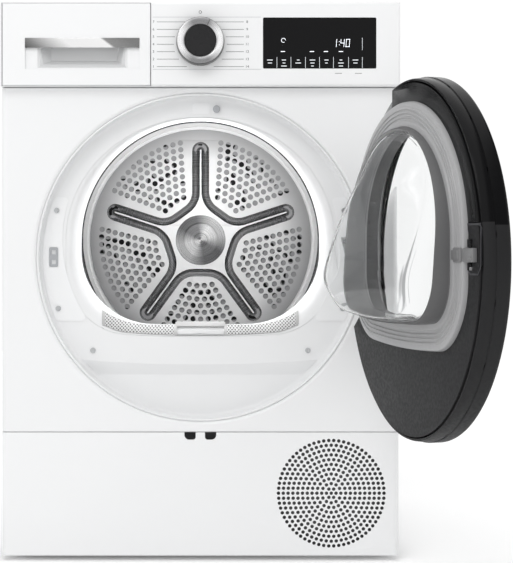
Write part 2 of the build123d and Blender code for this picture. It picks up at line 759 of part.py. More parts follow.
filter_seat = 3.0              # filter's face behind the channel's front wall
window_inner_x, window_outer_x = 44.0, 122.0
window_depth = 7.0
with BuildPart() as lint_filter:
    with BuildSketch(across(-head_half_width)):
        with BuildLine():
            Polyline(
                (front_y + head_front_depth, head_foot_z),
                (front_y + head_front_depth, ramp_z(head_front_depth)),
                (front_y + head_back_depth, ramp_z(head_back_depth)),
                (front_y + head_back_depth, head_foot_z),
                close=True,
            )
        make_face()
    extrude(amount=2 * head_half_width)
    filter_front_y = front_y + channel_front_depth + filter_seat
    filter_back_y = front_y + channel_back_depth - swing_gap / 2
    filter_edge_x = channel_half_width - swing_gap / 2
    box_between(
        (-filter_edge_x, filter_front_y, filter_bottom_z),
        (filter_edge_x, filter_back_y, head_foot_z + part_gap),
    )
    box_between(
        (-filter_edge_x + filter_wall, filter_front_y + filter_wall, filter_bottom_z + filter_wall),
        (filter_edge_x - filter_wall, filter_back_y - filter_wall, head_foot_z + filter_wall),
        mode=Mode.SUBTRACT,
    )
    # windows that the mesh wings span, open down to the pocket
    for side in (-1, 1):
        window_x = sorted((side * window_inner_x, side * window_outer_x))
        box_between(
            (window_x[0], filter_front_y + filter_wall, head_foot_z),
            (window_x[1], filter_front_y + filter_wall + window_depth, drum_axis_z),
            mode=Mode.SUBTRACT,
        )
finish(lint_filter, "lint_filter")

handle_half_width = 38.5
handle_top_z = 357.0
with BuildPart() as filter_handle:
    with BuildSketch(across(-handle_half_width)):
        with BuildLine():
            Polyline(
                (front_y + head_front_depth, ramp_z(head_front_depth)),
                (front_y + head_front_depth + 3, handle_top_z),
                (front_y + head_back_depth - 4, handle_top_z + 2),
                (front_y + head_back_depth, ramp_z(head_back_depth)),
                close=True,
            )
        make_face()
    extrude(amount=2 * handle_half_width)
finish(filter_handle, "filter_handle")

# ================================================================ drum
felt_inner_radius = mouth_half_width + lip_wall
felt_outer_radius = drum_neck_radius - sheet - part_gap / 2
with BuildPart() as felt_seal:
    with BuildSketch(upright(drum_front_y + drum_neck_length + 2, z=drum_axis_z)):
        Circle(felt_outer_radius)
        Circle(felt_inner_radius, mode=Mode.SUBTRACT)
    extrude(amount=drum_neck_length)
finish(felt_seal, "felt_seal")

neck_end_y = drum_front_y + drum_neck_length
cone_end_y = neck_end_y + drum_cone_length
back_plate_y = drum_back_y - 8.0
with BuildPart() as drum_shell:
    with BuildSketch(drum_profile_plane()):
        with BuildLine():
            Polyline(
                (drum_front_y, drum_neck_radius),
                (neck_end_y, drum_neck_radius),
                (cone_end_y, drum_radius),
                (drum_back_y, drum_radius),
                (drum_back_y, drum_radius - sheet),
                (cone_end_y, drum_radius - sheet),
                (neck_end_y + sheet, drum_neck_radius - sheet),
                (drum_front_y, drum_neck_radius - sheet),
                close=True,
            )
        make_face()
    revolve(axis=drum_axis)
finish(drum_shell, "drum_shell")

arm_count = 5
arm_width = 27.0
arm_reach = 180.0
arm_relief = 4.0               # how far the star stands ahead of the plate
hub_radius = 45.0
hub_relief = 8.0
hub_step = 14.0
plate_sheet = 1.5
perforation_radius = 8.0
row_pitch = 28.0
hole_pitch = 31.0
first_row_radius = 94.0
groove_width = 12.0
row_count = 4
drum_shaft_radius = 12.5


def holes_in_row(radius):
    """How many perforations fit across one petal in the row at this radius."""
    half_angle = radians(180 / arm_count) - asin((arm_width / 2 + groove_width) / radius)
    return int(2 * half_angle * radius / hole_pitch) + 1


with BuildPart() as drum_back:
    with BuildSketch(upright(back_plate_y, z=drum_axis_z)):
        Circle(drum_radius - sheet)
    extrude(amount=plate_sheet)
    # star of arms pressed towards the laundry, with a stepped hub
    with BuildSketch(upright(back_plate_y - plate_sheet, z=drum_axis_z)):
        with PolarLocations(arm_reach / 2, arm_count, start_angle=90):
            SlotOverall(arm_reach, arm_width)
        Circle(hub_radius)
    extrude(amount=arm_relief)
    with BuildSketch(upright(back_plate_y - plate_sheet - arm_relief, z=drum_axis_z)):
        Circle(hub_radius - hub_step)
    extrude(amount=hub_relief - arm_relief)
    with BuildSketch(upright(back_plate_y, z=drum_axis_z)):
        for row in range(row_count):
            radius = first_row_radius + row * row_pitch
            holes = holes_in_row(radius)
            step = degrees(hole_pitch / radius)
            span = step * (holes - 1)
            for petal in range(arm_count):
                first = 90 + (petal + 0.5) * 360 / arm_count - span / 2
                with PolarLocations(radius, holes, start_angle=first, angular_range=span, endpoint=True):
                    RegularPolygon(perforation_radius, 6)
    extrude(amount=plate_sheet, mode=Mode.SUBTRACT)
    with BuildSketch(upright(back_plate_y, z=drum_axis_z)):
        Circle(drum_shaft_radius + shaft_clearance)
    extrude(amount=plate_sheet, mode=Mode.SUBTRACT)
finish(drum_back, "drum_back")

lifter_height = 58.0
lifter_foot_width = 62.0
lifter_buried = 20.0           # drawn past the drum's wall, then trimmed to it
with BuildPart() as drum_lifters:
    with BuildSketch(upright(back_plate_y - 12, z=drum_axis_z)):
        with PolarLocations(drum_radius + (lifter_buried - lifter_height) / 2, 3, start_angle=30):
            Trapezoid(lifter_foot_width, lifter_height + lifter_buried, 76, rotation=90)
        Circle(drum_radius - sheet, mode=Mode.INTERSECT)
    extrude(amount=drum_length - 60)
finish(drum_lifters, "drum_lifters")

bearing_radius = 26.0
shaft_end_y = rear_y + 10
with BuildPart() as drum_shaft:
    with BuildSketch(drum_profile_plane()):
        with BuildLine():
            Polyline(
                (back_plate_y - plate_sheet, 0),
                (back_plate_y - plate_sheet, drum_shaft_radius),
                (back_plate_y, drum_shaft_radius),
                (back_plate_y, hub_radius - 5),
                (back_plate_y + 4, hub_radius - 5),
                (back_plate_y + 4, drum_shaft_radius),
                (shaft_end_y, drum_shaft_radius),
                (shaft_end_y, 0),
                close=True,
            )
        make_face()
    revolve(axis=drum_axis)
finish(drum_shaft, "drum_shaft")

bearing_width = 15.0
bearing_y = rear_y - sheet - 6
with BuildPart() as rear_bearing:
    with BuildSketch(upright(bearing_y + bearing_width, z=drum_axis_z)):
        Circle(bearing_radius)
        Circle(drum_shaft_radius + shaft_clearance, mode=Mode.SUBTRACT)
    extrude(amount=bearing_width)
finish(rear_bearing, "rear_bearing")

with BuildPart() as bearing_carrier:
    with BuildSketch(upright(rear_y - sheet, z=drum_axis_z)):
        Circle(bearing_boss_radius + 8)
        with PolarLocations(bearing_boss_radius + 50, 4, start_angle=45):
            Rectangle(124, 24)
        Circle(bearing_radius, mode=Mode.SUBTRACT)
    extrude(amount=5)
    with BuildSketch(upright(bearing_y + bearing_width, z=drum_axis_z)):
        Circle(bearing_boss_radius - part_gap)
        Circle(bearing_radius, mode=Mode.SUBTRACT)
    extrude(amount=bearing_width)
finish(bearing_carrier, "bearing_carrier")

# ---------------------------------------------------------------- drive
belt_inner_gap = 0.3
belt_y = 0.0
with BuildPart() as drive_belt:
    with BuildSketch(upright(belt_y + belt_width / 2)):
        with Locations((0, drum_axis_z)):
            Circle(drum_radius + belt_inner_gap + belt_thickness)
        with Locations((motor_x, motor_z)):
            Circle(pulley_radius + belt_inner_gap + belt_thickness)
        make_hull()
    extrude(amount=belt_width)
    with BuildSketch(upright(belt_y + belt_width / 2)):
        with Locations((0, drum_axis_z)):
            Circle(drum_radius + belt_inner_gap)
        with Locations((motor_x, motor_z)):
            Circle(pulley_radius + belt_inner_gap)
        make_hull()
    extrude(amount=belt_width, mode=Mode.SUBTRACT)
finish(drive_belt, "drive_belt")

shell_sides = 24               # hidden round shells are drawn with flat facets
motor_radius = 50.0
motor_bevel = 8.0
motor_front_y, motor_back_y = 22.0, 150.0
motor_shaft_radius = 6.0
fan_back_y, fan_front_y = 272.0, 232.0
with BuildPart() as drive_motor:
    with BuildSketch(upright(motor_back_y, x=motor_x, z=motor_z)):
        RegularPolygon(motor_radius, shell_sides)
    extrude(amount=motor_back_y - motor_front_y)
    end_faces = faces().filter_by(Axis.Y)
    chamfer(end_faces.edges(), length=motor_bevel)
    with BuildSketch(upright(motor_back_y, x=motor_x, z=motor_z)):
        Circle(motor_shaft_radius + shaft_clearance)
    extrude(amount=motor_back_y - motor_front_y, mode=Mode.SUBTRACT)
finish(drive_motor, "drive_motor")

with BuildPart() as motor_shaft:
    with BuildSketch(upright(fan_back_y - 4, x=motor_x, z=motor_z)):
        Circle(motor_shaft_radius)
    extrude(amount=fan_back_y - 4 - (belt_y - belt_width))
    with BuildSketch(upright(belt_y + belt_width, x=motor_x, z=motor_z)):
        Circle(pulley_radius)
    extrude(amount=2 * belt_width)
finish(motor_shaft, "motor_shaft")

fan_blades = 16
blade_depth = 20.0
with BuildPart() as process_fan:
    with BuildSketch(upright(fan_back_y, x=motor_x, z=motor_z)):
        Circle(fan_radius)
        Circle(motor_shaft_radius, mode=Mode.SUBTRACT)
    extrude(amount=2)
    with BuildSketch(upright(fan_back_y - 2, x=motor_x, z=motor_z)):
        with PolarLocations(fan_radius - blade_depth / 2 - 1, fan_blades):
            Rectangle(blade_depth, 2, rotation=35)
    extrude(amount=fan_back_y - fan_front_y - 2)
    with BuildSketch(upright(fan_back_y - 2, x=motor_x, z=motor_z)):
        Circle(14)
        Circle(motor_shaft_radius, mode=Mode.SUBTRACT)
    extrude(amount=18)
finish(process_fan, "process_fan")

with BuildPart() as fan_housing:
    with BuildSketch(upright(fan_back_y + 5, x=motor_x, z=motor_z)):
        RegularPolygon(fan_radius + 14, shell_sides)
    extrude(amount=fan_back_y - fan_front_y + 10)
    with BuildSketch(upright(fan_back_y + 5, x=motor_x, z=motor_z)):
        RegularPolygon(fan_radius + 12, shell_sides)
    extrude(amount=fan_back_y - fan_front_y + 8, mode=Mode.SUBTRACT)
    with BuildSketch(upright(fan_back_y, x=motor_x, z=motor_z)):
        RegularPolygon(fan_radius - 26, shell_sides)
    extrude(amount=fan_back_y, mode=Mode.SUBTRACT)
finish(fan_housing, "fan_housing")

# ---------------------------------------------------------------- support rollers and belt idler
for name, spot in zip(("left_support_roller", "right_support_roller"), roller_spots):
    with BuildPart() as roller:
        with BuildSketch(upright(roller_y + roller_width / 2, x=spot[0], z=spot[1])):
            Circle(roller_radius)
            Circle(roller_bore + shaft_clearance, mode=Mode.SUBTRACT)
        extrude(amount=roller_width)
    finish(roller, name)

with BuildPart() as roller_axles:
    with BuildSketch(upright(roller_y + roller_width / 2 + 6)):
        with Locations(roller_spots):
            Circle(roller_bore)
    extrude(amount=roller_y + roller_width / 2 + 6 - shield_y)
finish(roller_axles, "roller_axles")

# the belt's lower strand runs straight from drum to pulley; the idler lifts it from below
centre_distance = hypot(motor_x, drum_axis_z - motor_z)
strand_angle = atan2(motor_z - drum_axis_z, motor_x) - acos((drum_radius - pulley_radius) / centre_distance)
idler_radius = 18.0
idler_bore = 4.0
idler_x = 110.0
belt_outside = belt_inner_gap + belt_thickness
strand_start = (
    (drum_radius + belt_outside) * cos(strand_angle),
    drum_axis_z + (drum_radius + belt_outside) * sin(strand_angle),
)
strand_run = -(idler_x - strand_start[0]) / sin(strand_angle)
idler_centre = (
    idler_x + (idler_radius + part_gap) * cos(strand_angle),
    strand_start[1] + strand_run * cos(strand_angle) + (idler_radius + part_gap) * sin(strand_angle),
)
with BuildPart() as idler_pulley:
    with BuildSketch(upright(belt_y + belt_width / 2 + 1, x=idler_centre[0], z=idler_centre[1])):
        Circle(idler_radius)
        Circle(idler_bore + shaft_clearance, mode=Mode.SUBTRACT)
    extrude(amount=belt_width + 2)
finish(idler_pulley, "idler_pulley")

arm_y = belt_y + belt_width / 2 + 2.0
with BuildPart() as idler_arm:
    with BuildSketch(upright(arm_y + 3, x=idler_centre[0])):
        with Locations((0, (idler_centre[1] + foot_height + base_wall) / 2)):
            Rectangle(24, idler_centre[1] - foot_height - base_wall)
        with Locations((0, idler_centre[1])):
            Circle(12)
    extrude(amount=3)
    with BuildSketch(upright(arm_y, x=idler_centre[0], z=idler_centre[1])):
        Circle(idler_bore)
    extrude(amount=belt_width + 6)
finish(idler_arm, "idler_arm")

# ================================================================ heat pump in the base
with BuildPart() as cooling_fan:
    with BuildSketch(upright(cooling_fan_y + cooling_fan_width, x=grille_x, z=grille_z)):
        Circle(cooling_hub_radius)
    extrude(amount=cooling_fan_width)
    with BuildSketch(upright(cooling_fan_y + cooling_fan_width - 8, x=grille_x, z=grille_z)):
        with PolarLocations(cooling_hub_radius + 19, 5):
            Rectangle(44, 30, rotation=12)
    extrude(amount=3)
    with BuildSketch(upright(cooling_fan_y + cooling_fan_width, x=grille_x, z=grille_z)):
        Circle(cooling_pin_radius + shaft_clearance)
    extrude(amount=cooling_fan_width, mode=Mode.SUBTRACT)
finish(cooling_fan, "cooling_fan")

compressor_x, compressor_y = 85.0, 95.0
compressor_radius = 58.0
compressor_height = 116.0
compressor_bevel = 14.0
compressor_foot_z = foot_height + base_wall
with BuildPart() as compressor:
    with BuildSketch(level(compressor_foot_z + 8, compressor_x, compressor_y)):
        RegularPolygon(compressor_radius, shell_sides)
    extrude(amount=compressor_height)
    end_faces = faces().filter_by(Axis.Z)
    chamfer(end_faces.edges(), length=compressor_bevel)
    with BuildSketch(level(compressor_foot_z, compressor_x, compressor_y)):
        with PolarLocations(compressor_radius - 8, 3, start_angle=30):
            Rectangle(44, 30)
    extrude(amount=14)
finish(compressor, "compressor")

exchanger_left_x, exchanger_right_x = tunnel_left_x + base_wall, tunnel_right_x - base_wall
exchanger_top_z = tunnel_lid_z - 4.0
fin_pitch, fin_slot, fin_slot_depth = 12.0, 5.0, 6.0
fin_slots = 18
fin_margin = 6.0               # plain edge above and below the slots


def heat_exchanger(front, back):
    """Finned block across the air tunnel, grooved between its fin packs."""
    with BuildPart() as block:
        box_between(
            (exchanger_left_x, front, tunnel_floor_z),
            (exchanger_right_x, back, exchanger_top_z),
        )
        middle_x = (exchanger_left_x + exchanger_right_x) / 2
        middle_z = (tunnel_floor_z + exchanger_top_z) / 2
        with BuildSketch(upright(front + fin_slot_depth, x=middle_x, z=middle_z)):
            with GridLocations(fin_pitch, 0, fin_slots, 1):
                Rectangle(fin_slot, exchanger_top_z - tunnel_floor_z - 2 * fin_margin)
        extrude(amount=fin_slot_depth, mode=Mode.SUBTRACT)
    return block


evaporator = heat_exchanger(-190.0, -105.0)
finish(evaporator, "evaporator")
condenser = heat_exchanger(-85.0, 45.0)
finish(condenser, "condenser")

pipe_bend = 11.0
compressor_top_z = compressor_foot_z + 8 + compressor_height
pipe_top_z = base_top
riser_x = exchanger_right_x + 18.0
suction_x, suction_turn_y = 20.0, -40.0
hot_gas_route = [
    (compressor_x, compressor_y, compressor_top_z),
    (compressor_x, compressor_y, pipe_top_z),
    (riser_x + 48, hot_gas_wall_y + 15, pipe_top_z),
    (riser_x, hot_gas_wall_y, pipe_top_z),
    (riser_x, hot_gas_wall_y, hot_gas_wall_z),
    (exchanger_right_x, hot_gas_wall_y, hot_gas_wall_z),
]
suction_route = [
    (exchanger_right_x, suction_wall_y, suction_wall_z),
    (suction_x, suction_wall_y, suction_wall_z),
    (suction_x, suction_turn_y, suction_wall_z),
    (compressor_x, suction_turn_y, suction_wall_z),
    (compressor_x, compressor_y - compressor_radius, suction_wall_z),
]
with BuildPart() as refrigerant_pipes:
    for route in (hot_gas_route, suction_route):
        with BuildLine() as path:
            FilletPolyline(*route, radius=pipe_bend)
        with BuildSketch(Plane(origin=path.line @ 0, z_dir=path.line % 0)):
            RegularPolygon(pipe_radius, 6)
        sweep(path=path.line)
finish(refrigerant_pipes, "refrigerant_pipes")

with BuildPart() as condensate_pump:
    box_between(
        (pump_x - 30, pump_y - 22, tunnel_floor_z - 20),
        (pump_x + 30, pump_y + 22, tunnel_floor_z + 50),
    )
    fillet(edges().filter_by(Axis.Z), radius=6)
    with BuildSketch(level(tunnel_floor_z + 50, pump_x, pump_y)):
        Circle(5)
    extrude(amount=30)
finish(condensate_pump, "condensate_pump")

# ---------------------------------------------------------------- rear connections
spigot_x, spigot_z = -236.0, 716.0
spigot_radius = 5.5
with BuildPart() as drain_spigot:
    with BuildSketch(upright(rear_y + 3, x=spigot_x, z=spigot_z)):
        RectangleRounded(34, 26, 5)
    extrude(amount=3)
    with BuildSketch(upright(duct_y, x=spigot_x, z=spigot_z)):
        Circle(spigot_radius)
    extrude(amount=duct_bulge - 3)
    with BuildSketch(upright(duct_y, x=spigot_x, z=spigot_z)):
        Circle(spigot_radius - 2)
    extrude(amount=duct_bulge, mode=Mode.SUBTRACT)
finish(drain_spigot, "drain_spigot")

gland_x, gland_z = -236.0, 772.0
with BuildPart() as mains_gland:
    with BuildSketch(upright(rear_y + 4, x=gland_x, z=gland_z)):
        RectangleRounded(38, 26, 6)
    extrude(amount=4)
    with BuildSketch(upright(rear_y + 12, x=gland_x, z=gland_z)):
        Circle(8)
    extrude(amount=8)
    with BuildSketch(upright(rear_y + 12, x=gland_x, z=gland_z)):
        Circle(4)
    extrude(amount=12, mode=Mode.SUBTRACT)
finish(mains_gland, "mains_gland")

# ================================================================ door
door_front = door_plane()
door_out = door_front.z_dir
door_axis = Axis(door_front.origin, door_out)
rim_lip_radius = door_glass_radius - 8.0
glass_fit = 0.4
hinge_notch_x = 231.0
hinge_notch_half = 34.0


def door_side_plane(x=0.0):
    """Plane along the door's axis: local x runs into the cabinet, local y up, x as when shut."""
    base = door_plane(0, x, drum_axis_z)
    return Plane(origin=base.origin, x_dir=-base.z_dir, z_dir=base.x_dir)


with BuildPart() as door_rim:
    with BuildSketch(door_profile_plane()):
        with BuildLine():
            Polyline(
                (rim_lip_radius, 19.5),
                (rim_lip_radius, 22),
                (door_glass_radius + glass_fit, 22),
                (door_glass_radius + glass_fit, 26.5),
                (door_radius - 5, -door_front_depth),
                (door_radius, -door_front_depth - 6),
                (door_radius, 2),
                (door_back_radius + 2, -door_back_depth + moulding),
                (door_back_radius - 1, -door_back_depth + moulding),
                (door_back_radius - 1, 19.5),
                close=True,
            )
        make_face()
    revolve(axis=door_axis)
    with BuildSketch(door_plane(door_back_depth + 2, x=hinge_notch_x)):
        Rectangle(30, 2 * hinge_notch_half, align=(Align.MIN, Align.CENTER))
    extrude(amount=door_back_depth + 2 + hinge_proud + 2.6, mode=Mode.SUBTRACT)
finish(door_rim, "door_rim")

glass_dome = 5.2
glass_thickness = 4.0
glass_top = 31.5               # outward from the front panel's face
glass_flat_radius = 110.0
with BuildPart() as door_glass:
    with BuildSketch(door_profile_plane()):
        with BuildLine():
            Polyline(
                (0, glass_top),
                (glass_flat_radius, glass_top),
                (door_glass_radius, glass_top - glass_dome),
                (door_glass_radius, glass_top - glass_dome - glass_thickness),
                (glass_flat_radius, glass_top - glass_thickness),
                (0, glass_top - glass_thickness),
                close=True,
            )
        make_face()
    revolve(axis=door_axis)
finish(door_glass, "door_glass")

tunnel_length = 15.0
with BuildPart() as door_inner_frame:
    with BuildSketch(door_plane(door_back_depth)):
        Circle(door_back_radius)
    extrude(amount=moulding)
    with BuildSketch(door_plane(door_back_depth, z=drum_axis_z)):
        d_outline(ring_inner_inset)
    extrude(amount=tunnel_length)
    with BuildSketch(door_plane(door_back_depth, z=drum_axis_z)):
        d_outline(ring_inner_inset + moulding)
    extrude(amount=tunnel_length, mode=Mode.SUBTRACT)
    with BuildSketch(door_plane(door_back_depth, x=hinge_notch_x)):
        Rectangle(30, 2 * hinge_notch_half, align=(Align.MIN, Align.CENTER))
    extrude(amount=moulding, mode=Mode.SUBTRACT)
finish(door_inner_frame, "door_inner_frame")

ring_base = 6.0
ring_step_inset = 22.0
ring_step = 9.0
collar_wall = 3.0
collar_top_depth, collar_bottom_depth = 33.0, 43.0
with BuildPart() as door_ring:
    with BuildSketch(door_plane(door_back_depth + ring_base, z=drum_axis_z)):
        d_outline(ring_outer_inset)
    extrude(amount=ring_base)
    with BuildSketch(door_plane(door_back_depth + ring_step, z=drum_axis_z)):
        d_outline(ring_step_inset)
    extrude(amount=ring_step)
    with BuildSketch(door_plane(collar_bottom_depth, z=drum_axis_z)):
        d_outline(ring_inner_inset - collar_wall)
    extrude(amount=collar_bottom_depth - door_back_depth)
    with BuildSketch(door_plane(collar_bottom_depth, z=drum_axis_z)):
        d_outline(ring_inner_inset)
    extrude(amount=collar_bottom_depth, mode=Mode.SUBTRACT)
    with BuildSketch(door_side_plane(-flare_half_width)):
        with BuildLine():
            Polyline(
                (collar_top_depth, flare_rise - ring_inner_inset + 10),
                (collar_bottom_depth, -flare_drop + ring_inner_inset - 10),
                (collar_bottom_depth + 10, -flare_drop),
                (collar_bottom_depth + 10, flare_rise),
                close=True,
            )
        make_face()
    extrude(amount=2 * flare_half_width, mode=Mode.SUBTRACT)
finish(door_ring, "door_ring")

bowl_seat_depth = door_back_depth + 0.2
bowl_top_depth = 37.0
bowl_knee_z = 92.0             # heights here are counted from the drum axis
bowl_deep_depth = 86.0
bowl_deep_z = -52.0
bowl_fit = 0.5


def bowl_block(inset, thinner):
    """Solid as wide and deep as the bowl's outer (or, with `thinner`, inner) surface."""
    with BuildPart() as block:
        with BuildSketch(door_plane(bowl_deep_depth + 10, z=drum_axis_z)):
            d_outline(inset)
        extrude(amount=bowl_deep_depth + 10 - bowl_seat_depth)
        with BuildSketch(door_side_plane(-flare_half_width)):
            with BuildLine() as side:
                Polyline(
                    (0, flare_rise),
                    (bowl_top_depth - thinner, flare_rise),
                    (bowl_top_depth + 2 - thinner, bowl_knee_z),
                    (bowl_deep_depth - thinner, bowl_deep_z),
                    (bowl_deep_depth - 18 - thinner, -flare_drop + inset),
                    (bowl_deep_depth - 30 - thinner, -flare_drop - 10),
                    (0, -flare_drop - 10),
                    close=True,
                )
            make_face(side.edges())
        extrude(amount=2 * flare_half_width, mode=Mode.INTERSECT)
    return block


bowl_outside = bowl_block(ring_inner_inset + bowl_fit, 0)
bowl_inside = bowl_block(ring_inner_inset + bowl_fit + bowl_wall, bowl_wall)
with BuildPart() as glass_bowl:
    add(bowl_outside.part)
    add(bowl_inside.part, mode=Mode.SUBTRACT)
finish(glass_bowl, "glass_bowl")

hook_half_height = 9.5
hook_depth = 25.5
with BuildPart() as door_hook:
    with BuildSketch(door_plane(door_back_depth + 2.5, x=-214)):
        Rectangle(26, 2 * hook_half_height + 5)
    extrude(amount=2.5)
    with BuildSketch(door_plane(door_back_depth + ring_base, x=-206.8)):
        Rectangle(11.6, 2 * hook_half_height)
    extrude(amount=ring_base)
    with BuildSketch(door_plane(door_back_depth + ring_base + 2, x=-192.0)):
        Rectangle(19.4, 2 * hook_half_height)
    extrude(amount=2)
    with BuildSketch(door_plane(hook_depth, x=receptacle_x)):
        with GridLocations(1, slot_pitch, 1, 2):
            Rectangle(4, 4.5)
    extrude(amount=hook_depth - door_back_depth)
finish(door_hook, "door_hook")

# ---------------------------------------------------------------- hinge
knuckle_radius = 5.0
hinge_pin_radius = 2.5
bracket_half_height = 30.0
bracket_steel = 2.5
leaf_half_height = 11.5
knuckle_gap = 1.0
bracket_arm_x = 237.5
with BuildPart() as hinge_bracket:
    with BuildSketch(level(door_axis_z - bracket_half_height)):
        with BuildLine():
            Polyline(
                (212, front_y + plateau_depth - plate_thickness),
                (bracket_arm_x, front_y + plateau_depth - plate_thickness),
                (bracket_arm_x, front_y - 6),
                (hinge_x - 2, hinge_y + 4),
            )
            offset(amount=bracket_steel, side=Side.RIGHT)
        make_face()
    extrude(amount=2 * bracket_half_height)
    with BuildSketch(level(door_axis_z - bracket_half_height, hinge_x, hinge_y)):
        Circle(knuckle_radius)
    extrude(amount=2 * bracket_half_height)
    with BuildSketch(level(door_axis_z - leaf_half_height - knuckle_gap, hinge_x, hinge_y)):
        Circle(knuckle_radius + 9)
    extrude(amount=2 * (leaf_half_height + knuckle_gap), mode=Mode.SUBTRACT)
    with BuildSketch(level(door_axis_z - leaf_half_height - 2, hinge_x, hinge_y)):
        Circle(hinge_pin_radius)
    extrude(amount=2 * (leaf_half_height + 2))
finish(hinge_bracket, "hinge_bracket")

leaf_steel = 3.0
leaf_end_x = 214.0
leaf_plate_half = 31.0
leaf_depth = -hinge_proud + leaf_steel / 2
with BuildPart() as hinge_leaf:
    with BuildSketch(Plane(origin=(hinge_x, hinge_y, door_axis_z - leaf_half_height), z_dir=(0, 0, 1))):
        Circle(knuckle_radius)
    extrude(amount=2 * leaf_half_height)
    with BuildSketch(door_plane(leaf_depth, x=hinge_x)):
        Rectangle(hinge_x - leaf_end_x, 2 * leaf_half_height, align=(Align.MAX, Align.CENTER))
    extrude(amount=leaf_steel)
    with BuildSketch(door_plane(leaf_depth, x=hinge_notch_x - 2)):
        Rectangle(hinge_notch_x - 2 - leaf_end_x, 2 * leaf_plate_half, align=(Align.MAX, Align.CENTER))
    extrude(amount=leaf_steel)
    with BuildSketch(door_plane(door_back_depth - moulding, x=leaf_end_x)):
        Rectangle(leaf_steel, 2 * leaf_plate_half, align=(Align.MIN, Align.CENTER))
    extrude(amount=door_back_depth - moulding - leaf_depth)
    with BuildSketch(door_plane(door_back_depth - moulding, x=leaf_end_x)):
        Rectangle(18, 2 * leaf_plate_half, align=(Align.MAX, Align.CENTER))
    extrude(amount=leaf_steel)
    with BuildSketch(Plane(origin=(hinge_x, hinge_y, door_axis_z - leaf_half_height), z_dir=(0, 0, 1))):
        Circle(hinge_pin_radius + shaft_clearance)
    extrude(amount=2 * leaf_half_height, mode=Mode.SUBTRACT)
finish(hinge_leaf, "hinge_leaf")
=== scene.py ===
import json
from math import asin, atan2, cos, degrees, hypot, pi, radians, sin, sqrt, tan

import bmesh
import bpy
from mathutils import Matrix, Vector


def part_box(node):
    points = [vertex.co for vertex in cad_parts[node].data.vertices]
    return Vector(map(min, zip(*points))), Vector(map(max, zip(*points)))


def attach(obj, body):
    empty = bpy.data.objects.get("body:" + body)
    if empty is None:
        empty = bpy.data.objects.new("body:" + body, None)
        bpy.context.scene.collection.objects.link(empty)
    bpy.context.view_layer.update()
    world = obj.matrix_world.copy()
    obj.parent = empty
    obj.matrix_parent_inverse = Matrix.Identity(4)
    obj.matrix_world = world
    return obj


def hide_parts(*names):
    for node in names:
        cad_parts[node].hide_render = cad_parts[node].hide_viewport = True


# Looks of a front-loading clothes dryer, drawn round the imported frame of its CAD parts.
# Sizes are in millimetres, and pieces are drawn with the door shut. Depths count from the front panel's
# face into the cabinet. An outline is a list of (x, z) points, and an axis runs along Y through (x, z).

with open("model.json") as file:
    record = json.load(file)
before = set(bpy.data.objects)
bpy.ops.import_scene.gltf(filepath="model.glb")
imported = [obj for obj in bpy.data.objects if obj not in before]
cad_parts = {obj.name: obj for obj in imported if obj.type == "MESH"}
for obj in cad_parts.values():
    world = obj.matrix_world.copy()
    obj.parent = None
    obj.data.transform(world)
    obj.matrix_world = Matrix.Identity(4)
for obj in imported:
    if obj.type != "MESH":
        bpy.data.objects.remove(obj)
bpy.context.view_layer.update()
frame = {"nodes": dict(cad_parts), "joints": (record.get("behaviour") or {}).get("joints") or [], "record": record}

MM = 0.001


# ======== places, from the frame
def node_box(node):
    """Lowest and highest corner of a frame node."""
    low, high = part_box(node)
    return Vector(low) / MM, Vector(high) / MM


def joint(name):
    return next(row for row in frame["joints"] if row["name"] == name)


def joint_place(name):
    return [value / MM for value in joint(name)["pos_m"]]


panel_low, panel_high = node_box("front_panel")
plinth_low, plinth_high = node_box("plinth_panel")
bar_low, bar_high = node_box("drawer_trim_bar")
display_low = node_box("display_window")[0]
front_y, fascia_y = panel_low.y, node_box("control_fascia")[0].y
drum_plate_y = node_box("drum_back")[1].y
hinge_x, hinge_y, door_z = joint_place("door_hinge")
drum_z = joint_place("drum_spin")[2]
knob_z = joint_place("selector_turn")[2]
door_axis, drum_axis, knob_axis = (0, door_z), (0, drum_z), (0, knob_z)
grille_axis = tuple(joint_place("cooling_fan_spin")[::2])
knob_y = -307.0  # back of the knob

to_hinge = Matrix.Translation((hinge_x * MM, hinge_y * MM, 0))
open_angle = radians(-joint("door_hinge")["range_deg"][0])
DOOR_OPEN = to_hinge @ Matrix.Rotation(open_angle, 4, "Z") @ to_hinge.inverted()


# ======== outlines
def spread(start, end, steps):
    """Evenly spaced values from start to end, both included."""
    return [start + (end - start) * k / steps for k in range(steps + 1)]


def along(line, value):
    """Height at a value on a polyline of (value, height) points. The value is held within its ends."""
    value = min(max(value, line[0][0]), line[-1][0])
    for (v0, h0), (v1, h1) in zip(line, line[1:]):
        if value <= v1:
            return h0 + (h1 - h0) * (value - v0) / (v1 - v0)


def arc_points(centre, radius, start, end, steps):
    """Points on an arc between two angles in degrees."""
    return [
        (centre[0] + radius * cos(radians(a)), centre[1] + radius * sin(radians(a)))
        for a in spread(start, end, steps)
    ]


def circle(centre, radius, steps):
    return arc_points(centre, radius, 0, 360, steps)[:-1]


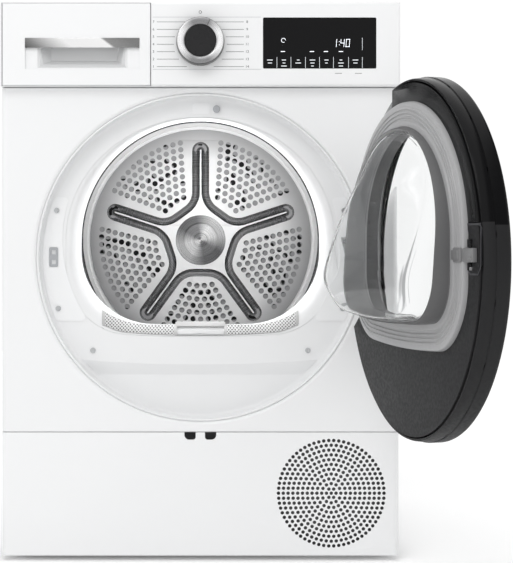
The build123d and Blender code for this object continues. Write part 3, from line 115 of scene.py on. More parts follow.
def rounded(points, radii, closed=True, steps=5):
    """A polyline with its corners rounded. `radii` is one number or one for each point."""
    count = len(points)
    radii = list(radii) if hasattr(radii, "__len__") else [radii] * count
    if not closed:
        radii[0] = radii[-1] = 0
    out = []
    for k, point in enumerate(points):
        if radii[k] <= 0:
            out.append(tuple(point))
            continue
        here = Vector(point)
        back, ahead = Vector(points[k - 1]) - here, Vector(points[(k + 1) % count]) - here
        half_turn = back.angle(ahead) / 2
        # a rounding takes up to half a side that another one shares
        room = [0.999 if radii[n] <= 0 else 0.499 for n in (k - 1, (k + 1) % count)]
        reach = min(radii[k] / tan(half_turn), room[0] * back.length, room[1] * ahead.length)
        middle = here + (back.normalized() + ahead.normalized()).normalized() * (reach / cos(half_turn))
        first = here + back.normalized() * reach - middle
        last = here + ahead.normalized() * reach - middle
        for share in spread(0, 1, steps):
            out.append(tuple(middle + first.lerp(last, share).normalized() * first.length))
    return out


def rectangle(x0, z0, x1, z1, radius=0.0, steps=4):
    return rounded([(x0, z0), (x1, z0), (x1, z1), (x0, z1)], radius, steps=steps)


TOP_STEPS, SIDE_STEPS, CORNER_STEPS, FLOOR_STEPS = 72, 4, 16, 24  # facets of a D outline
window_rise, window_drop = 186.5, 147.0  # above and below the drum's axis


def d_outline(inset=0.0, half=204.0, rise=window_rise, drop=window_drop, corner=88.0, sag=12.0):
    """D-shaped outline about the drum's axis, `inset` inside the given one. It starts at its right."""
    half, rise, drop, corner = half - inset, rise - inset, drop - inset, corner - inset
    floor = sag - drop
    knee = floor + corner
    points = [(half * cos(radians(a)), rise * sin(radians(a))) for a in spread(0, 180, TOP_STEPS)]
    points += [(-half, z) for z in spread(0, knee, SIDE_STEPS)[1:]]
    points += arc_points((corner - half, knee), corner, 180, 270, CORNER_STEPS)[1:]
    points += [(x, floor) for x in spread(corner - half, half - corner, FLOOR_STEPS)[1:]]
    points += arc_points((half - corner, knee), corner, 270, 360, CORNER_STEPS)[1:]
    points += [(half, z) for z in spread(knee, 0, SIDE_STEPS)[1:-1]]
    sagged = []
    for x, z in points:
        bow = sag * (1 - (x / half) ** 2) * (z / floor) ** 2 if z < 0 else 0
        sagged.append((x, drum_z + z - bow))
    return sagged


def at_depth(outline, depth):
    """An outline as points at one depth behind the front panel's face."""
    return [(x, front_y + depth, z) for x, z in outline]


def rolled(radius):
    """Steps (inset, depth) over a rounded edge, from the flat face to the side."""
    return [(radius * (1 - sin(turn)), radius * (1 - cos(turn))) for turn in spread(0, pi / 2, 3)]


# ======== shapes and pieces
class Shape:
    """Points and faces of one piece. A mark is a face's material number."""

    def __init__(self):
        self.points, self.faces, self.marks = [], [], []

    def add(self, points, faces, mark=0):
        start = len(self.points)
        self.points += [tuple(p) for p in points]
        self.faces += [tuple(start + k for k in face) for face in faces]
        self.marks += [mark] * len(faces)
        return self

    def loft(self, rings, loop=True, caps=0, mark=0):
        """Skin over rings that all have as many points. One cap closes its end, two close both ends."""
        count = len(rings[0])
        faces = []
        for row in range(len(rings) - 1):
            for k in range(count if loop else count - 1):
                a, b = row * count + k, row * count + (k + 1) % count
                faces.append((a, b, b + count, a + count))
        if caps == 2:
            faces.append(tuple(reversed(range(count))))
        if caps:
            faces.append(tuple(range((len(rings) - 1) * count, len(rings) * count)))
        return self.add([p for ring in rings for p in ring], faces, mark)

    def revolve(self, profile, axis, start=0, end=360, steps=144, mark=0, base=front_y):
        """Turns (radius, depth) points about an axis. Depths count from y = base."""
        full = end - start == 360
        angles = spread(radians(start), radians(end), steps)[: steps if full else None]
        x, z = axis
        rings = [[(x + r * cos(a), base + d, z + r * sin(a)) for a in angles] for r, d in profile]
        return self.loft(rings, loop=full, mark=mark)

    def plate(self, outlines, front, back, bevel=0.0, mark=0, warp=None):
        """Plate between two depths. The first outline is its edge, the rest are holes."""
        curve = bpy.data.curves.new("plate", "CURVE")
        curve.dimensions, curve.fill_mode, curve.bevel_resolution = "2D", "BOTH", 1
        for outline in outlines:
            spline = curve.splines.new("POLY")
            spline.points.add(len(outline) - 1)
            for point, (x, z) in zip(spline.points, outline):
                point.co = (x, z, 0, 1)
            spline.use_cyclic_u = True
        curve.extrude = (back - front) / 2 - bevel
        curve.bevel_depth, curve.offset = bevel, -bevel
        points, faces = curve_mesh(curve)
        points = [(x, (front + back) / 2 - out, z) for x, z, out in points]
        return self.add([warp(p) if warp else (p[0], front_y + p[1], p[2]) for p in points], faces, mark)

    def block(self, low, high, radius):
        """Box between two corners (x, depth, z), with all its edges rounded."""
        (x0, d0, z0), (x1, d1, z1) = low, high
        radius = min(radius, 0.49 * min(x1 - x0, d1 - d0, z1 - z0))
        steps = []
        for i, drop in rolled(radius):
            steps.append((rectangle(x0 + i, z0 + i, x1 - i, z1 - i, radius - i + 0.01, 3), drop))
        rings = [at_depth(outline, d0 + drop) for outline, drop in steps]
        rings += [at_depth(outline, d1 - drop) for outline, drop in reversed(steps)]
        return self.loft(rings, caps=2)


def curve_mesh(curve):
    """Points and faces of a curve's filled mesh. The curve is used up."""
    holder = bpy.data.objects.new("holder", curve)
    mesh = bpy.data.meshes.new_from_object(holder)
    points, faces = [tuple(v.co) for v in mesh.vertices], [tuple(p.vertices) for p in mesh.polygons]
    bpy.data.objects.remove(holder)
    bpy.data.curves.remove(curve)
    bpy.data.meshes.remove(mesh)
    return points, faces


def build(shape, name, body, slot, materials=None, replaces=(), angle=32.0):
    """Makes a shape into a piece that rides on a body. Without materials it takes the slot's."""
    mesh = bpy.data.meshes.new(name)
    mesh.from_pydata([tuple(c * MM for c in p) for p in shape.points], [], shape.faces)
    mesh.polygons.foreach_set("material_index", shape.marks)
    for material in materials or [SKIN[slot]]:
        mesh.materials.append(material)
    work = bmesh.new()
    work.from_mesh(mesh)
    bmesh.ops.remove_doubles(work, verts=work.verts, dist=2e-6)
    bmesh.ops.dissolve_degenerate(work, edges=work.edges, dist=1e-7)
    bmesh.ops.recalc_face_normals(work, faces=work.faces)
    work.to_mesh(mesh)
    work.free()
    if body == "door":
        mesh.transform(DOOR_OPEN)
    mesh.shade_smooth()
    mesh.set_sharp_from_angle(angle=radians(angle))
    piece = bpy.data.objects.new(name, mesh)
    bpy.context.scene.collection.objects.link(piece)
    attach(piece, body)
    if replaces:
        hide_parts(*replaces)
    return piece


# ======== materials
class Nodes:
    """Short way to make a material's or the world's nodes."""

    def __init__(self, owner, shader="Principled BSDF"):
        owner.use_nodes = True
        self.owner, self.tree = owner, owner.node_tree
        self.shader = self.tree.nodes[shader]

    def feed(self, node, inputs):
        """Sets a node's inputs, each to a value or to another node's output."""
        for socket, value in inputs.items():
            if isinstance(value, bpy.types.NodeSocket):
                self.tree.links.new(value, node.inputs[socket])
            else:
                node.inputs[socket].default_value = value

    def node(self, kind, inputs=None, **settings):
        made = self.tree.nodes.new("ShaderNode" + kind)
        for key, value in settings.items():
            setattr(made, key, value)
        self.feed(made, inputs or {})
        return made

    def set(self, **inputs):
        """Sets inputs of the shader, and gives back the material or world."""
        self.feed(self.shader, {key.replace("_", " "): value for key, value in inputs.items()})
        return self.owner

    def math(self, operation, *values):
        return self.node("Math", dict(enumerate(values)), operation=operation).outputs[0]

    def place(self, stretch=(1, 1, 1), centre=(0, 0, 0)):
        """Object coordinates in metres, counted from a centre and stretched."""
        start = tuple(-c * s for c, s in zip(centre, stretch))
        vector = self.node("TexCoord").outputs["Object"]
        return self.node("Mapping", {"Vector": vector, "Location": start, "Scale": stretch}).outputs[0]

    def across(self, axis):
        """Object coordinates square to an axis, counted from it."""
        return self.place((1, 0, 1), (axis[0] * MM, 0, axis[1] * MM))

    def radius(self, axis):
        """Distance from an axis, in metres."""
        return self.node("VectorMath", {0: self.across(axis)}, operation="LENGTH").outputs["Value"]

    def noise(self, vector, scale, detail=2.0):
        return self.node("TexNoise", {"Vector": vector, "Scale": scale, "Detail": detail}).outputs[0]

    def rings(self, axis, scale):
        """Noise that changes only with the distance from an axis."""
        inputs = {"W": self.radius(axis), "Scale": scale, "Detail": 3.0}
        return self.node("TexNoise", inputs, noise_dimensions="1D").outputs[0]

    def ramp(self, value, low, high, span=(0.35, 0.65)):
        """Maps the span of a value onto low..high."""
        inputs = {"Value": value, "From Min": span[0], "From Max": span[1], "To Min": low, "To Max": high}
        return self.node("MapRange", inputs).outputs[0]

    def tint(self, value, dark, light):
        """Maps 0..1 onto two colours."""
        inputs = {0: value, 6: (*dark, 1), 7: (*light, 1)}
        return self.node("Mix", inputs, data_type="RGBA").outputs[2]

    def drift(self, noise, colour, vary):
        """A colour that darkens where the noise is low."""
        return self.tint(self.ramp(noise, 0, 1), shade(colour, 1 - vary), colour)

    def blend(self, value, low, high):
        return self.node("Mix", {0: value, 2: low, 3: high}, data_type="FLOAT").outputs[0]

    def greys(self, value, stops, interpolation="LINEAR"):
        """Maps a value onto greys between (value, grey) stops."""
        made = self.node("ValToRGB", {0: value})
        band = made.color_ramp
        band.interpolation = interpolation
        while len(band.elements) < len(stops):
            band.elements.new(0.5)
        for element, (spot, grey) in zip(band.elements, stops):
            element.position, element.color = spot, (grey, grey, grey, 1)
        return made.outputs[0]

    def bump(self, height, distance, strength):
        return self.node("Bump", {"Height": height, "Distance": distance, "Strength": strength}).outputs[0]


def new_material(name):
    return Nodes(bpy.data.materials.new(name))


def shade(colour, factor):
    return tuple(min(1.0, c * factor) for c in colour)


def moulded(name, colour, rough=0.4, grain=1500, relief=20, vary=0.03, sheen=1.0):
    """Moulded or painted: fine grain, its relief in micrometres, and a slow drift of tone and gloss."""
    n = new_material(name)
    drift = n.ramp(n.noise(n.place(), 6.0), 0.0, 1.0)
    return n.set(
        Base_Color=n.tint(drift, shade(colour, 1 - vary), shade(colour, 1 + vary / 2)),
        Roughness=n.ramp(n.noise(n.place(), grain / 8), rough * 0.88, rough * 1.12),
        Normal=n.bump(n.noise(n.place(), grain), relief * 1e-6, 0.4), Specular_IOR_Level=0.5 * sheen,
    )


def worked(n, tone, marks, rough, metal=1.0, dullest=1.25):
    """Metal with fine tool marks."""
    gloss, relief = n.ramp(marks, rough * 0.8, rough * dullest), n.bump(marks, 0.00002, 0.3)
    return n.set(Base_Color=tone, Roughness=gloss, Normal=relief, Metallic=metal)


def brushed(name, colour, rough, stretch, vary=0.12):
    """Metal with fine straight scratches, long where the stretch is small."""
    n = new_material(name)
    marks = n.noise(n.place(stretch), 1.0, 3.0)
    return worked(n, n.drift(marks, colour, vary), marks, rough, dullest=1.3)


def turned(name, colour, axis, rough, rings, vary, metal=1.0):
    """Metal with concentric turning marks about an axis."""
    n = new_material(name)
    marks = n.rings(axis, rings)
    return worked(n, n.drift(marks, colour, vary), marks, rough, metal)


def sectored(name, axis, light, dark, turn, rough, rings):
    """Turned metal with painted highlights: its colour is painted light in two opposite sectors, where its
    brushing would catch the light, and dark between them.
    """
    n = new_material(name)
    unit = n.node("VectorMath", {0: n.across(axis)}, operation="NORMALIZE").outputs[0]
    sector = (cos(radians(turn)), 0, sin(radians(turn)))
    facing = n.node("VectorMath", {0: unit, 1: sector}, operation="DOT_PRODUCT").outputs["Value"]
    tone = n.tint(n.ramp(n.math("POWER", facing, 2.0), 0, 1, (0.15, 0.85)), dark, light)
    return worked(n, tone, n.rings(axis, rings), rough, 0.6)


def spangled(name, colour):
    """Zinc-coated sheet: crystal-like patches that differ a little in tone and gloss."""
    n = new_material(name)
    patches = n.node("TexVoronoi", {"Vector": n.place(), "Scale": 130.0}).outputs["Color"]
    value = n.node("SeparateColor", {"Color": patches}).outputs[0]
    return n.set(
        Base_Color=n.tint(value, shade(colour, 0.86), shade(colour, 1.08)),
        Roughness=n.ramp(value, 0.336, 0.504, (0, 1)), Metallic=0.85,
    )


def glassy(name, colour, index):
    """Clear moulding or glass, with a faint smudge in its gloss."""
    n = new_material(name)
    smudge = n.ramp(n.noise(n.place(), 25.0), 0.0, 0.01)
    return n.set(Base_Color=(*colour, 1), Transmission_Weight=1.0, IOR=index, Roughness=smudge)


def felted(name, colour):
    """Pressed felt: short tangled fibres."""
    n = new_material(name)
    fibres = n.noise(n.place((900, 900, 2400)), 1.0, 4.0)
    tone = n.drift(fibres, colour, 0.3)
    return n.set(Base_Color=tone, Normal=n.bump(fibres, 0.0004, 0.7), Roughness=0.95, Sheen_Weight=0.3)


def lit(name, colour, strength):
    """Small lamps and lit signs of the display, uneven as light guides are."""
    n = new_material(name)
    tone = n.drift(n.noise(n.place(), 900.0), colour, 0.15)
    return n.set(Base_Color=(*colour, 1), Emission_Color=tone, Emission_Strength=strength, Roughness=0.4)


def chrome_bar():
    """Polished bar with a painted reflection: its colour is painted dark at its left and right ends, the right one
    slanting, where the room's dark ends would mirror in it.
    """
    n = new_material("chrome")
    slant = 1.3  # shift of the painted reflections in X for each step up
    place = n.node("SeparateXYZ", {0: n.place()}).outputs
    slanted = n.math("MULTIPLY_ADD", place["Z"], slant, place["X"])
    span = [(end + slant * bar_low.z) * MM for end in (bar_low.x, bar_high.x)]
    # greys of the painted reflection along the bar: dark ends, white middle
    stops = [(0, 0.10), (0.12, 0.26), (0.42, 0.92), (0.76, 0.95), (0.79, 0.30), (1, 0.22)]
    tone = n.greys(n.ramp(slanted, 0, 1, span), stops)
    return n.set(Base_Color=tone, Roughness=n.ramp(n.noise(n.place(), 200.0), 0.10, 0.16), Metallic=0.8)


def petal_sheet():
    """Perforated sheet with painted shade: bright in the middle, painted greyer towards its edge, where the drum
    shades it.
    """
    n = new_material("perforated_sheet_painted_shade")
    # painted shade: the sheet's colour greys towards the drum's edge
    far = n.ramp(n.radius(drum_axis), 0, 1, (0.150, 0.205))
    tone = n.tint(far, (0.92, 0.92, 0.92), (0.42, 0.42, 0.425))
    return n.set(Base_Color=tone, Roughness=n.ramp(n.noise(n.place(), 300.0), 0.36, 0.5), Metallic=0.25)


def behind_holes():
    """Painted shade seen through the perforations: a sheet painted grey, and black where the holes behind line up.
    """
    n = new_material("painted_shade_behind_perforations")
    dark = n.ramp(n.noise(n.place(), 55.0, 1.0), 0, 1, (0.56, 0.60))
    return n.set(Base_Color=n.tint(dark, (0.36, 0.36, 0.365), (0.004, 0.004, 0.004)), Roughness=0.6)


def filter_mesh():
    """Woven diamond mesh of the lint filter: pale threads over a grey ground."""
    n = new_material("lint_mesh")
    vector = n.node("TexCoord").outputs["Object"]
    diagonal = n.node("Mapping", {"Vector": vector, "Rotation": (0, radians(45), 0)}).outputs[0]
    place = n.node("SeparateXYZ", {0: diagonal}).outputs
    waves = [n.math("PINGPONG", place[axis], 0.0018) for axis in ("X", "Z")]
    threads = n.math("MAXIMUM", *[n.ramp(wave, 1, 0, (0.0004, 0.0009)) for wave in waves])
    tone = n.tint(threads, (0.17, 0.17, 0.17), (0.72, 0.72, 0.72))
    return n.set(Base_Color=tone, Normal=n.bump(threads, 0.0003, 0.6), Roughness=0.55)


def floor_material():
    n = new_material("floor_white")
    seen = n.math("MULTIPLY", n.node("LightPath").outputs["Is Camera Ray"], 0.16)
    n.set(Base_Color=(0.93, 0.93, 0.93, 1), Roughness=0.9)
    return n.set(Emission_Color=(1, 1, 1, 1), Emission_Strength=seen)


RUBBER = moulded("rubber", (0.030, 0.030, 0.030), 0.7, 900, 60, 0.1)
SKIN = {  # the material of each of the frame's slots
    "white_steel": moulded("white_enamel", (0.865, 0.87, 0.875), 0.34, 900, 4, 0.004),
    "white_plastic": moulded("white_plastic", (0.875, 0.88, 0.885), 0.36, 1500, 6, 0.004),
    "shield_plastic": moulded("shield_plastic", (0.84, 0.845, 0.85), 0.42, 1600, 6, 0.004),
    "worktop_white": moulded("worktop_laminate", (0.87, 0.875, 0.88), 0.40, 700, 30, 0.015),
    "grey_plastic": moulded("grey_plastic", (0.40, 0.41, 0.43), 0.45),
    "dark_plastic": moulded("dark_plastic", (0.045, 0.045, 0.05), 0.42),
    "door_black": moulded("door_black", (0.006, 0.006, 0.0065), 0.20, 700, 3, 0.05, 0.22),
    "door_charcoal": moulded("door_charcoal", (0.016, 0.016, 0.017), 0.5, 1800, 12, 0.06, 0.4),
    "ring_grey": moulded("ring_grey", (0.37, 0.37, 0.375), 0.38, 1400, 10, 0.03),
    "clear_glass": glassy("clear_bowl", (0.985, 0.99, 0.99), 1.09),
    "smoked_glass": glassy("door_glass_clear", (0.975, 0.98, 0.98), 1.08),
    "display_black": moulded("screen_black", (0.004, 0.004, 0.0045), 0.14, 500, 2, 0.05, 0.3),
    "chrome_trim": chrome_bar(),
    "stainless": brushed("stainless", (0.74, 0.74, 0.745), 0.30, (300, 40, 300), 0.08),
    "steel": brushed("steel", (0.55, 0.56, 0.57), 0.32, (400, 400, 100)),
    "galvanised": spangled("zinc_sheet", (0.62, 0.64, 0.66)),
    "aluminium_fins": brushed("aluminium_fins", (0.78, 0.79, 0.80), 0.35, (1500, 30, 30)),
    "copper_pipe": brushed("copper_pipe", (0.78, 0.45, 0.32), 0.28, (80, 80, 80)),
    "compressor_black": moulded("compressor_paint", (0.02, 0.02, 0.022), 0.35, 500, 30),
    "board_green": moulded("circuit_board", (0.03, 0.16, 0.09), 0.45, 500, 50, 0.2),
    "tank_plastic": moulded("tank_plastic", (0.74, 0.76, 0.77), 0.35),
    "felt": felted("felt", (0.62, 0.60, 0.55)),
    "belt_rubber": RUBBER, "foot_rubber": RUBBER, "roller_rubber": RUBBER,
}
MESH_FRAME = moulded("filter_mesh_frame", (0.50, 0.50, 0.50), 0.5)
FILTER_MESH = filter_mesh()
COLLAR_GREY = moulded("collar_grey", (0.11, 0.11, 0.112), 0.45)
LATCH_GREY = moulded("latch_grey", (0.20, 0.20, 0.203), 0.40)
WALL_GREY = moulded("window_wall_grey", (0.10, 0.10, 0.102), 0.45)
# painted shade: dark grey for the backing behind the plinth's holes and notches
BACKING_PAINTED_SHADE = moulded("backing_painted_shade", (0.13, 0.13, 0.132), 0.6)
# painted shade: the drawer scoop's white plastic painted grey
SCOOP_PAINTED_SHADE = moulded("scoop_white_painted_shade", (0.66, 0.665, 0.67), 0.38, 1500, 10, 0.012)
DISC_BLACK = moulded("knob_disc_black", (0.016, 0.016, 0.017), 0.3, 900, 3, 0.05, 0.45)
INK = moulded("printing_ink", (0.06, 0.06, 0.065), 0.5, 2000, 2, 0.1)
GLOW = lit("display_light", (0.92, 0.95, 1.0), 0.85)
GLOW_DIM = lit("display_light_dim", (0.85, 0.88, 0.92), 0.35)
BACK_SHEET_PAINTED_SHADE = petal_sheet()
BEHIND_HOLES_PAINTED_SHADE = behind_holes()
STAR_STEEL = turned("star_steel", (0.95, 0.95, 0.95), drum_axis, 0.4, 900, 0.03, 0.2)
# painted reflection: the channels are the drum's stainless painted dark grey, as they mirror the dark drum
CHANNEL_STEEL_PAINTED_REFLECTION = turned("channel_steel_painted_reflection", (0.30, 0.30, 0.305), drum_axis, 0.3, 900, 0.1)
# hub and knob ring: painted highlights in two sectors of their colour
HUB_STEEL_PAINTED_HIGHLIGHT = sectored("hub_steel_painted_highlight", drum_axis, (0.80, 0.80, 0.80), (0.22, 0.22, 0.225), 215, 0.3, 1800)
KNOB_STEEL_PAINTED_HIGHLIGHT = sectored("knob_steel_painted_highlight", knob_axis, (0.92, 0.92, 0.925), (0.26, 0.26, 0.265), 0, 0.3, 2600)
# painted shade: the knob's side is dark grey, as its underside looks in shade
KNOB_SIDE_PAINTED_SHADE = turned("knob_side_painted_shade", (0.10, 0.10, 0.102), knob_axis, 0.3, 2600, 0.2)


# ======== front panel and plinth
FOLD = 7.0  # radius of the sheets' folded sides
seat_radius, lip_radius = 247.0, 6.0  # the front panel's round opening: its inner edge and rolled lip


def folded_panel(low, high, outlines, strips):
    """Sheet with its sides folded back. Each strip (x0, x1, up) softens a stretch of its upper edge, or
    of its lower one where `up` is -1."""
    shape = Shape().plate(outlines, 0, 1.2)
    soft = [(0.0, 1.0), (0.3, 0.3), (1.0, 0.0)]  # (gap to the end, inset)
    levels = [(inset, low.z + gap) for gap, inset in soft]
    levels += [(inset, high.z - gap) for gap, inset in reversed(soft)]
    for side in (-1, 1):
        rings = []
        for inset, z in levels:
            reach = FOLD - inset
            bend = [(high.x - FOLD + reach * sin(a), low.y + FOLD - reach * cos(a))
                    for a in spread(0, pi / 2, 8)]
            rings.append([(side * x, y, z) for x, y in bend + [(high.x - inset, high.y)]])
        shape.loft(rings, loop=False)
    for x0, x1, up in strips:
        end = high.z if up > 0 else low.z
        rim = [(0, -1), (0.3, -0.3), (1, 0), (22, 0)]
        shape.loft([[(x, low.y + y, end + up * rise) for y, rise in rim] for x in (x0, x1)], loop=False)
    return shape


def front_panel():
    edge = panel_high.x - FOLD
    opening = seat_radius + lip_radius
    outline = rectangle(-edge, panel_low.z + 1, edge, panel_high.z - 1)
    strips = [(-edge, edge, -1), (-edge, edge, 1)]
    shape = folded_panel(panel_low, panel_high, [outline, circle(door_axis, opening, 240)], strips)
    lip = [(opening - lip_radius * sin(a), lip_radius * (1 - cos(a))) for a in spread(0, pi / 2, 8)]
    shape.revolve(lip + [(seat_radius, 12)], door_axis, steps=240)
    build(shape, "front_sheet", "cabinet", "white_steel", replaces=["front_panel"])


def plinth():
    edge, low, top = plinth_high.x - FOLD, plinth_low.z + 1, plinth_high.z - 1
    near, far, floor = 7, 24, top - 10  # sides and upper end of the two notches
    near_turn, far_turn = 4, 7  # their corners
    outline = [(-edge, low), (edge, low), (edge, top), (far, top), (far, floor), (near, floor), (near, top)]
    outline += [(-near, top), (-near, floor), (-far, floor), (-far, top), (-edge, top)]
    radii = [0, 0, 0, 0, far_turn, near_turn, 0, 0, near_turn, far_turn, 0, 0]
    hole_radius, hole_pitch = 2.75, 7.22
    holes = [circle(grille_axis, hole_radius, 10)]
    for ring in range(1, 12):
        holes += [circle(spot, hole_radius, 10) for spot in circle(grille_axis, hole_pitch * ring, 6 * ring)]
    strips = [(-edge, edge, -1), (-edge, -far, 1), (-near, near, 1), (far, edge, 1)]
    shape = folded_panel(plinth_low, plinth_high, [rounded(outline, radii)] + holes, strips)
    for side in (-1, 1):
        hook = [(side * near, top + 1), (side * near, floor), (side * far, floor), (side * far, top + 1)]
        hook = rounded(hook, [0, near_turn, far_turn, 0], closed=False)
        shape.loft([at_depth(hook, depth) for depth in (0, 3)], loop=False)
    build(shape, "plinth_sheet", "cabinet", "white_plastic", replaces=["plinth_panel"])
    # painted shade: dark grey blocks behind the grille's holes and the notches stand for the dark behind them
    backing = Shape().block((110, 24.5, 15), (284, 26, 188), 0.5).block((-40, 24.5, 150), (40, 26, 190), 0.5)
    build(backing, "plinth_shade_backing", "cabinet", "grey_plastic", [BACKING_PAINTED_SHADE])


# ======== bearing shield: recess, step and funnel
plateau, lower_floor = 26.0, 36.0  # depths of the recess's two floors
floor_radius = 237.5
step_top, step_foot, step_sag = 301.3, 277.0, 7.3  # the step between the floors
STEP = [(0, 26), (0.03, 26.1), (0.09, 26.8), (0.16, 27.8), (0.84, 34.4), (0.91, 35.3), (0.97, 35.9), (1, 36)]
mouth_depth, mouth_radius, sleeve_radius = 62.0, 183.5, 186.0
wing_inner, wing_outer = 33.0, 149.0  # the lint filter's mesh lies between these on both sides
wall = 2.5  # thickness of the shield


def step_depth(z):
    """Depth of the recess's floor beside the wall, at height z."""
    return along(STEP, (step_top - z) / (step_top - step_foot))


def mouth_outline():
    return d_outline(0, mouth_radius, mouth_radius, 130.0, 112.0, 0.0)


def funnel_ring(t):
    """Outline and depth of the funnel between the recess (t = 0) and the loading mouth (t = 1). The
    outline starts at its bottom's middle."""
    share = sin(pi * t / 2)
    ring = [(a[0] + (b[0] - a[0]) * share, a[1] + (b[1] - a[1]) * share)
            for a, b in zip(d_outline(), mouth_outline())]
    middle = TOP_STEPS + SIDE_STEPS + CORNER_STEPS + FLOOR_STEPS // 2
    return ring[middle:] + ring[:middle], plateau + (mouth_depth - plateau) * (1 - cos(pi * t / 2))


def cut_ring(ring, x):
    """Point of a funnel outline's bottom edge at x, and the index after it, counted from its start."""
    way = 1 if x >= 0 else -1
    for k in range(0, way * len(ring), way):
        (x0, z0), (x1, z1) = ring[k], ring[k + way]
        if (x0 - x) * (x1 - x) <= 0:
            return (x, z0 + (z1 - z0) * (x - x0) / (x1 - x0)), k + way


def long_way(ring, x, count):
    """Evenly spaced points round an outline, from x on its bottom edge over the top to -x."""
    start, first = cut_ring(ring, x)
    end, last = cut_ring(ring, -x)
    points = [Vector(p) for p in [start] + ring[first:len(ring) + last + 1] + [end]]
    lengths = [0.0]
    for a, b in zip(points, points[1:]):
        lengths.append(lengths[-1] + (b - a).length)
    out, k = [], 0
    for target in spread(0, lengths[-1], count):
        while k < len(points) - 2 and lengths[k + 1] < target:
            k += 1
        step = max(lengths[k + 1] - lengths[k], 1e-9)
        out.append(tuple(points[k].lerp(points[k + 1], min(1.0, (target - lengths[k]) / step))))
    return out


def wing_span(x):
    """Shares of the funnel's depth between which the lint filter's mesh lies at x."""
    share = max(0.0, (abs(x) - wing_inner) / (wing_outer - wing_inner))
    return 0.04 + 0.06 * share, 0.97 - 0.42 * share


def funnel_point(t, x, lift=0.0):
    ring, depth = funnel_ring(t)
    (x, z), _ = cut_ring(ring, x)
    return x, front_y + depth - lift, z + lift


def bearing_shield():
    # side wall, from the front panel's lip to the floor
    columns = []
    for a in spread(0, 2 * pi, 360):
        floor = step_depth(door_z + floor_radius * sin(a))
        profile = [(247.2, 9), (247, 3.2), (246.2, 2), (245, 1.5), (244, 2), (243.5, 3.4)]
        profile += [(floor_radius + 6 * cos(b), floor - 6 + 6 * sin(b)) for b in spread(0, pi / 2, 6)]
        columns.append([(r * cos(a), front_y + d, door_z + r * sin(a)) for r, d in profile])
    shape = Shape().loft(columns, loop=False)
    # upper floor, step, lower floor, and the flange behind the front panel
    top_turn = degrees(asin((step_top - door_z) / floor_radius))
    foot_turn = degrees(asin((step_foot - door_z) / floor_radius))
    edge_x = floor_radius * cos(radians(top_turn))
    upper = arc_points(door_axis, floor_radius, top_turn, 180 - top_turn, 200)
    upper += [(s * edge_x, step_top - step_sag * (1 - s * s)) for s in spread(-1, 1, 40)[1:-1]]
    shape.plate([upper, d_outline(-0.9)], plateau, plateau + wall)
    rows = []
    for t, depth in STEP:
        side_z = step_top + (step_foot - step_top) * t
        reach = sqrt(floor_radius ** 2 - (door_z - side_z) ** 2)
        brink = [(s * reach, step_top - step_sag * (1 - s * s)) for s in spread(-1, 1, 60)]
        rows.append(at_depth([(x, z + (step_foot - z) * t) for x, z in brink], depth))
    shape.loft(rows, loop=False)
    lower = arc_points(door_axis, floor_radius, 180 - foot_turn, 360 + foot_turn, 90)
    shape.plate([lower], lower_floor, lower_floor + wall)
    flange = rectangle(-276, 186, 276, 736, 30)
    shape.plate([flange, circle(door_axis, seat_radius, 120)], plateau, plateau + wall)
    # funnel: its edge, its walls over the top, and its bottom on both sides of the filter's mesh
    shape.loft([at_depth(d_outline(i), d) for i, d in [(-0.9, 26), (-0.75, 27), (-0.15, 27), (0, 26)]])
    levels = spread(0, 1, 12)
    side_x = wing_outer + 1
    walls = [at_depth(long_way(ring, side_x, 220), depth) for ring, depth in map(funnel_ring, levels)]
    shape.loft(walls, loop=False)
    spans = [(x, *wing_span(x)) for x in spread(-wing_outer, wing_outer, 60)]
    shape.loft([[funnel_point(t, x) for t in spread(0, start, 6)] for x, start, _ in spans], loop=False)
    shape.loft([[funnel_point(t, x) for t in spread(end, 1, 6)] for x, _, end in spans], loop=False)
    for side in (-1, 1):
        shape.loft([[funnel_point(t, side * x) for t in levels] for x in (wing_outer, side_x)], loop=False)
    # mouth and the sleeve behind it
    mouth = [circle(drum_axis, sleeve_radius, 144), mouth_outline()]
    shape.plate(mouth, mouth_depth, mouth_depth + wall)
    start, end = mouth_depth + wall, 83.6
    sleeve = [(mouth_radius, start), (mouth_radius, end), (sleeve_radius, end), (sleeve_radius, start)]
    shape.revolve(sleeve, drum_axis)
    build(shape, "recess_shield", "cabinet", "shield_plastic", replaces=["bearing_shield"], angle=40)
    seal = Shape()
    for start, end in ((215, 325), (-35, 215)):
        seal.revolve([(183.6, 63), (181.6, 63.8), (181.6, 66), (183.6, 66.6)], drum_axis, start, end, 160)
    build(seal, "mouth_seal", "cabinet", "felt", [SKIN["dark_plastic"]])


